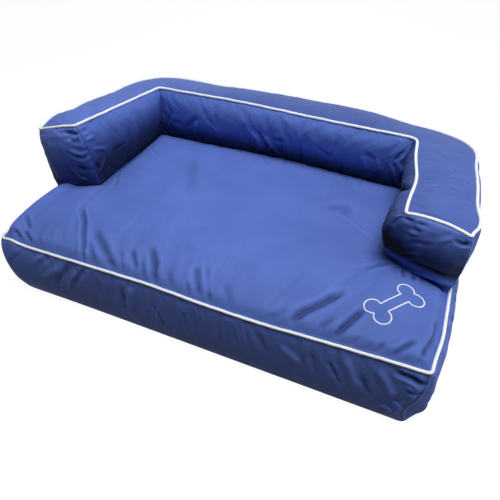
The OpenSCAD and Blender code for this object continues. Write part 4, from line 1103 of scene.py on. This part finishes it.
def closedTube(name, rings, node):
    # rings of points, closed at both ends by a point in the middle of the last ring
    count, sides = rings.shape[:2]
    points = np.concatenate([rings.reshape(-1, 3), [rings[0].mean(0), rings[-1].mean(0)]])
    ids = np.arange(count * sides).reshape(count, sides)
    caps = [np.stack([a, b, np.full(sides, tip)], -1) for a, b, tip in (
        (np.roll(ids[0], -1), ids[0], count * sides),
        (ids[-1], np.roll(ids[-1], -1), count * sides + 1))]
    piece = makeObject(name, points, tubeFaces(count, sides, False), *caps)
    if sum(f.area * f.center.dot(f.normal) for f in piece.data.polygons) < 0:
        piece.data.flip_normals()
    addPiece(piece, fibre, "fibre_filling", node)


def baseFilling():
    # rings from the middle of the bottom out to the foot, up the bands and in to the middle on top
    q = np.linspace(0, 1, filling["steps"] * 2, endpoint=False)
    walls = band(q, np.linspace(*filling["band rows"])).transpose(1, 0, 2)
    middle = walls.mean((0, 1)) * [1, 1, 0]
    inward = walls[..., :2] - middle[:2]
    reach = np.linalg.norm(inward, axis=-1, keepdims=True)
    walls[..., :2] -= inward / reach * filling["band gap"] * mm
    out = np.linspace(*filling["flat rows"])[:, None, None]
    low, high = walls[0] - middle, walls[-1] - middle
    bottom = middle + low * np.array([1, 1, 0]) * out + np.array([0, 0, filling["foot gap"] * mm])
    top = middle + high * out[::-1]
    level, _ = seatHeight(top[..., 0] / mm, top[..., 1] / mm,
                              mix(high[:, 2].mean(), high[None, :, 2], out[::-1, :, 0]))
    top[..., 2] = level - filling["crown gap"] * mm
    return np.concatenate([bottom, walls, top])


def bolsterFilling(low, high):
    # sections across the bolster: up the inner wall, over the top and down the outer wall
    q = np.linspace(low, high, filling["steps"])
    rows = np.linspace(*filling["wall rows"])
    inside, outside = innerWall(q, rows), outerWall(q, rows)
    u = np.linspace(*filling["top rows"])[1:-1]
    over = acrossTop(q, u)
    over[..., 2] += softTable(q, crown["bolster"])[:, None] * mm * swell(u ** 0.8, 0.7)
    below = mix(outside[:, :1], inside[:, :1], u[None, :, None])
    rings = np.concatenate([inside, over, outside[:, ::-1], below], 1)
    middle = rings.mean(1, keepdims=True)
    far = np.linalg.norm(rings - middle, axis=-1, keepdims=True)
    ends = dome(np.minimum(np.arange(len(q)), np.arange(len(q))[::-1]) / filling["round rows"]
                + filling["round from"])[:, None, None]
    return middle + (rings - middle) * (1 - filling["gap"] * mm / far) \
        * mix(filling["end size"], 1, ends)


closedTube("filling_base", baseFilling(), "base_filling")
mitre = filling["mitre gap"] * mm / filling["length"]
for name, low, high in (("left", filling["front gap"], bend - mitre),
                        ("back", bend + mitre, 1 - bend - mitre),
                        ("right", 1 - bend + mitre, 1 - filling["front gap"])):
    closedTube("filling_" + name, bolsterFilling(low, high), "bolster_filling_" + name)
print("fillings made")


# Underside: a flat rectangle with rounded corners, spread between four stretches of the foot line
underside = {"cells": (400, 260), "height": 0.5}
under = spread(baseFoot, *underside["cells"])[::-1]
under[..., 2] = underside["height"] * mm
bottom, bottomFlat = thinSheet("base_bottom_panel", under, underCloth, "base_cloth")

# CAD nodes whose shape is right take their finish here
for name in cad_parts:
    node = bpy.data.objects.get(name)
    if node and "zip" in name:
        finish = tape if "tape" in name else coil if "teeth" in name else metal
        if not node.material_slots:
            node.data.materials.append(finish)
        for place in node.material_slots:
            place.material = finish


# Zips: wound coils along both tapes, and rows of stitches that hold the tapes to the cover
coilWire = {"pitch": 2.3, "wire": 0.42, "points": 9, "sides": 5}


def zipCoil(node):
    # a flattened helix along x: y = middle + height * cos(turn), z = middle + width * sin(turn)
    low, high = (np.array(corner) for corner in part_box(node))
    wire = coilWire["wire"] * mm
    middle, half = (low + high) / 2, (high - low) / 2 - wire
    turns = (high[0] - low[0]) / (coilWire["pitch"] * mm)
    t = np.arange(int(turns * coilWire["points"])) / coilWire["points"]
    turn = 2 * np.pi * t
    shorter = 1 - 2 * wire / (high[0] - low[0])   # so that both ends stay inside the box
    path = np.stack([low[0] + wire + t * coilWire["pitch"] * mm * shorter,
                     middle[1] + half[1] * np.cos(turn), middle[2] + half[2] * np.sin(turn)], -1)
    sides = coilWire["sides"]
    rings = tube(path, wire, sides, False, up=(1, 0, 0))
    ends = np.stack([np.arange(sides)[::-1], (len(path) - 1) * sides + np.arange(sides)])
    piece = makeObject("coil_" + node, rings, tubeFaces(len(path), sides, False), ends)
    addPiece(piece, coil, "zip_nylon", node)


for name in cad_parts:
    if "zip_teeth" in name:
        zipCoil(name)
print("zip coils wound")


# Stitches: short threads that lie on the cloth. along and up are unit vectors at each one.
def layStitches(name, middle, along, up, length, height, radius, material, slotName, sides=5):
    # each thread is an arch: along * s * length / 2 + up * height * (1 - s^2), s from -1 to 1
    s = np.array([-1, -0.7, 0, 0.7, 1.0])
    arch = middle[:, None] + along[:, None] * (s * length / 2)[None, :, None] \
        + up[:, None] * (height * (1 - s ** 2) - 0.2 * height)[None, :, None]
    across = np.cross(along, up)
    a = np.arange(sides) * 2 * np.pi / sides
    thick = radius * np.array([0.5, 0.9, 1, 0.9, 0.5])
    rings = arch[:, :, None] + thick[None, :, None, None] * (
        np.cos(a)[None, None, :, None] * across[:, None, None]
        + np.sin(a)[None, None, :, None] * up[:, None, None])
    one = tubeFaces(len(s), sides, False)
    count = len(s) * sides
    first = (np.arange(len(middle)) * count)[:, None, None]
    ends = np.stack([np.arange(sides)[::-1], count - sides + np.arange(sides)])
    piece = makeObject(name, rings, (one[None] + first).reshape(-1, 4),
                       (ends[None] + first).reshape(-1, sides))
    outward = piece.data.polygons[0].center - Vector(arch[0, 1])
    if np.dot(piece.data.polygons[0].normal, outward) < 0:
        piece.data.flip_normals()
    addPiece(piece, material, slotName)


sewing = {"stitch": 3.0, "gap": 1.0, "thread": 0.3, "from edge": 4.0, "past zip": 6.0}


def stitchRow(name, line, up):
    # a running stitch along a line of points
    length = runLengths(line)
    pitch = (sewing["stitch"] + sewing["gap"]) * mm
    s = np.arange(pitch, length[-1] - pitch, pitch)
    along = unit(pointsAt(s + pitch / 2, length, line) - pointsAt(s - pitch / 2, length, line))
    layStitches(name, pointsAt(s, length, line), along, pointsAt(s, length, up),
                sewing["stitch"] * mm, sewing["thread"] * mm, sewing["thread"] * mm, thread,
                "cover_cloth")


for name in ("base_back_band_upper", "base_back_band_lower", "bolster_back_panel_upper",
             "bolster_back_panel_lower"):
    turn = 1 if "upper" in name else -1   # the zip is at the first or the last column
    p, n = shaped[name][:, ::turn], gridNormals(shaped[name])[:, ::turn]
    first = np.linalg.norm(p[:, 0] - p[:, 1], axis=-1)
    j = np.clip(sewing["from edge"] * mm / np.maximum(first, 1e-6), 0, p.shape[1] - 2)
    rows, low = np.arange(len(p)), j.astype(int)
    line = mix(p[rows, low], p[rows, low + 1], (j - low)[:, None])
    half = zips[name.split("_")[0]]["half"] + sewing["past zip"]
    keep = np.abs(line[:, 0]) < half * mm
    stitchRow("stitches_" + name, line[keep], n[rows, low][keep])
print("zips sewn in")


# Embroidery near the seat's front right corner: the outline of a bone in satin stitch
bone = {"middle": (368, -196), "turn": 52, "half length": 38, "half width": 10, "lobe": 15,
        "lobe out": 13, "stitch": 2.8, "step": 0.8, "high": 0.6, "thread": 0.5, "aslant": 0.25}


def onSeat(x, y, within=0.12):  # points and normals of the seat's cloth under places x, y
    p = shaped["base_top_panel"]
    n = gridNormals(p)
    near = (np.abs(p[..., 0] - x.mean()) < within) & (np.abs(p[..., 1] - y.mean()) < within)
    places, normals = p[near], n[near]
    k = ((places[None, :, 0] - x[:, None]) ** 2 + (places[None, :, 1] - y[:, None]) ** 2).argmin(1)
    p0, n0 = places[k], normals[k]
    z = p0[:, 2] - (n0[:, 0] * (x - p0[:, 0]) + n0[:, 1] * (y - p0[:, 1])) / n0[:, 2]
    return np.stack([x, y, z], -1), n0


def boneOutline():
    long, wide, r, out = (bone[k] for k in ("half length", "half width", "lobe", "lobe out"))
    start = np.pi + np.arcsin((out - wide) / r)
    notch = -np.arcsin(out / r)
    a = np.linspace(start, notch, 40)
    upper = np.stack([long + r * np.cos(a), out + r * np.sin(a)], -1)
    right = np.concatenate([upper, (upper * [1, -1])[::-1][1:]])
    line = np.concatenate([right, -right])
    turn = np.radians(bone["turn"])
    x = bone["middle"][0] + line[:, 0] * np.cos(turn) - line[:, 1] * np.sin(turn)
    y = bone["middle"][1] + line[:, 0] * np.sin(turn) + line[:, 1] * np.cos(turn)
    return np.stack([x, y, 0 * x], -1) * mm


outline = resampled(boneOutline(), bone["step"] * mm, True)
middle, up = onSeat(outline[:, 0], outline[:, 1])
ahead = np.roll(middle, -1, 0) - np.roll(middle, 1, 0)
across = unit(unit(np.cross(ahead, up)) + unit(ahead) * bone["aslant"])
layStitches("embroidery_bone", middle, across, up, bone["stitch"] * mm, bone["high"] * mm,
            bone["thread"] * mm, silk, "piping_cloth")
print("bone embroidered")


# Camera at the photograph's place, floor, white surroundings and soft light
view = {"azimuth": 23.19, "elevation": 42.30, "lens": 33.746, "place": (0.34977, -0.79538, 0.81710)}
studio = {   # soft boxes: power, size, place and what they point at
    "key softbox": (55.0, 1.3, (0.4, -0.38, 2.55), (0, 0, 0.2)),
    "side softbox": (11.0, 1.2, (2.2, 0.2, 1.0), (0.1, 0, 0.15)),
    "back softbox": (5.0, 1.6, (-0.7, 2.4, 1.2), (0, 0, 0.15)),
    "sky": 0.05, "floor": 0.10, "floor glow": 0.95, "floor half": 20.0,
}


def placeCamera():
    a, e = np.radians(view["azimuth"]), np.radians(view["elevation"])
    right = Vector((np.cos(a), np.sin(a), 0))
    back = Vector((np.sin(a) * np.cos(e), -np.cos(a) * np.cos(e), np.sin(e)))
    up = back.cross(right)
    camera = bpy.data.objects.new("camera", bpy.data.cameras.new("camera"))
    camera.matrix_world = Matrix.Translation(view["place"]) @ \
        Matrix((right, up, back)).transposed().to_4x4()
    camera.data.lens = view["lens"]
    camera.data.clip_start = 0.01
    scene.collection.objects.link(camera)
    scene.camera = camera


def softbox(name, power, size, place, target):
    lamp = bpy.data.lights.new(name, "AREA")
    lamp.energy, lamp.size = power, size
    box = bpy.data.objects.new(name, lamp)
    box.location = place
    box.rotation_euler = (Vector(target) - Vector(place)).to_track_quat("-Z", "Y").to_euler()
    scene.collection.objects.link(box)


def seenDirectly(tree):  # 1 for rays that come straight from the camera, a mirror or glass
    path = addNode(tree, "LightPath")
    seen = addNode(tree, "Math", [(0, path, "Is Camera Ray"), (1, path, "Is Glossy Ray")],
                   operation="MAXIMUM")
    return addNode(tree, "Math", [(0, seen, "Value"), (1, path, "Is Transmission Ray")],
                   operation="MAXIMUM")


def makeStudio():
    placeCamera()
    for name in ("key softbox", "side softbox", "back softbox"):
        softbox(name, *studio[name])
    world = bpy.data.worlds.new("white room")
    scene.world = world
    world.use_nodes = True
    tree = world.node_tree
    tree.nodes.clear()
    seen = seenDirectly(tree)
    dim = addNode(tree, "Background", Strength=studio["sky"])
    bright = addNode(tree, "Background", Strength=1.0)
    both = addNode(tree, "MixShader", [("Fac", seen, "Value"), (1, dim, 0), (2, bright, 0)])
    dim.inputs["Color"].default_value = bright.inputs["Color"].default_value = (1, 1, 1, 1)
    addNode(tree, "OutputWorld", [("Surface", both, 0)])
    material, tree = newMaterial("paper floor, white")
    seen = seenDirectly(tree)
    matt = addNode(tree, "BsdfDiffuse", Color=(*[studio["floor"]] * 3, 1))
    glow = addNode(tree, "Emission", Color=(1, 1, 1, 1), Strength=studio["floor glow"])
    glowing = addNode(tree, "AddShader", [(0, matt, 0), (1, glow, 0)])
    both = addNode(tree, "MixShader", [("Fac", seen, "Value"), (1, matt, 0), (2, glowing, 0)])
    finishMaterial(tree, both)
    square = np.array([(-1, -1, 0), (1, -1, 0), (1, 1, 0), (-1, 1, 0)]) * studio["floor half"]
    floor = makeObject("floor", square, np.array([[0, 1, 2, 3]]), smoothFaces=False)
    floor.data.materials.append(material)
    scene.view_settings.view_transform = "Standard"


makeStudio()
print("studio set")
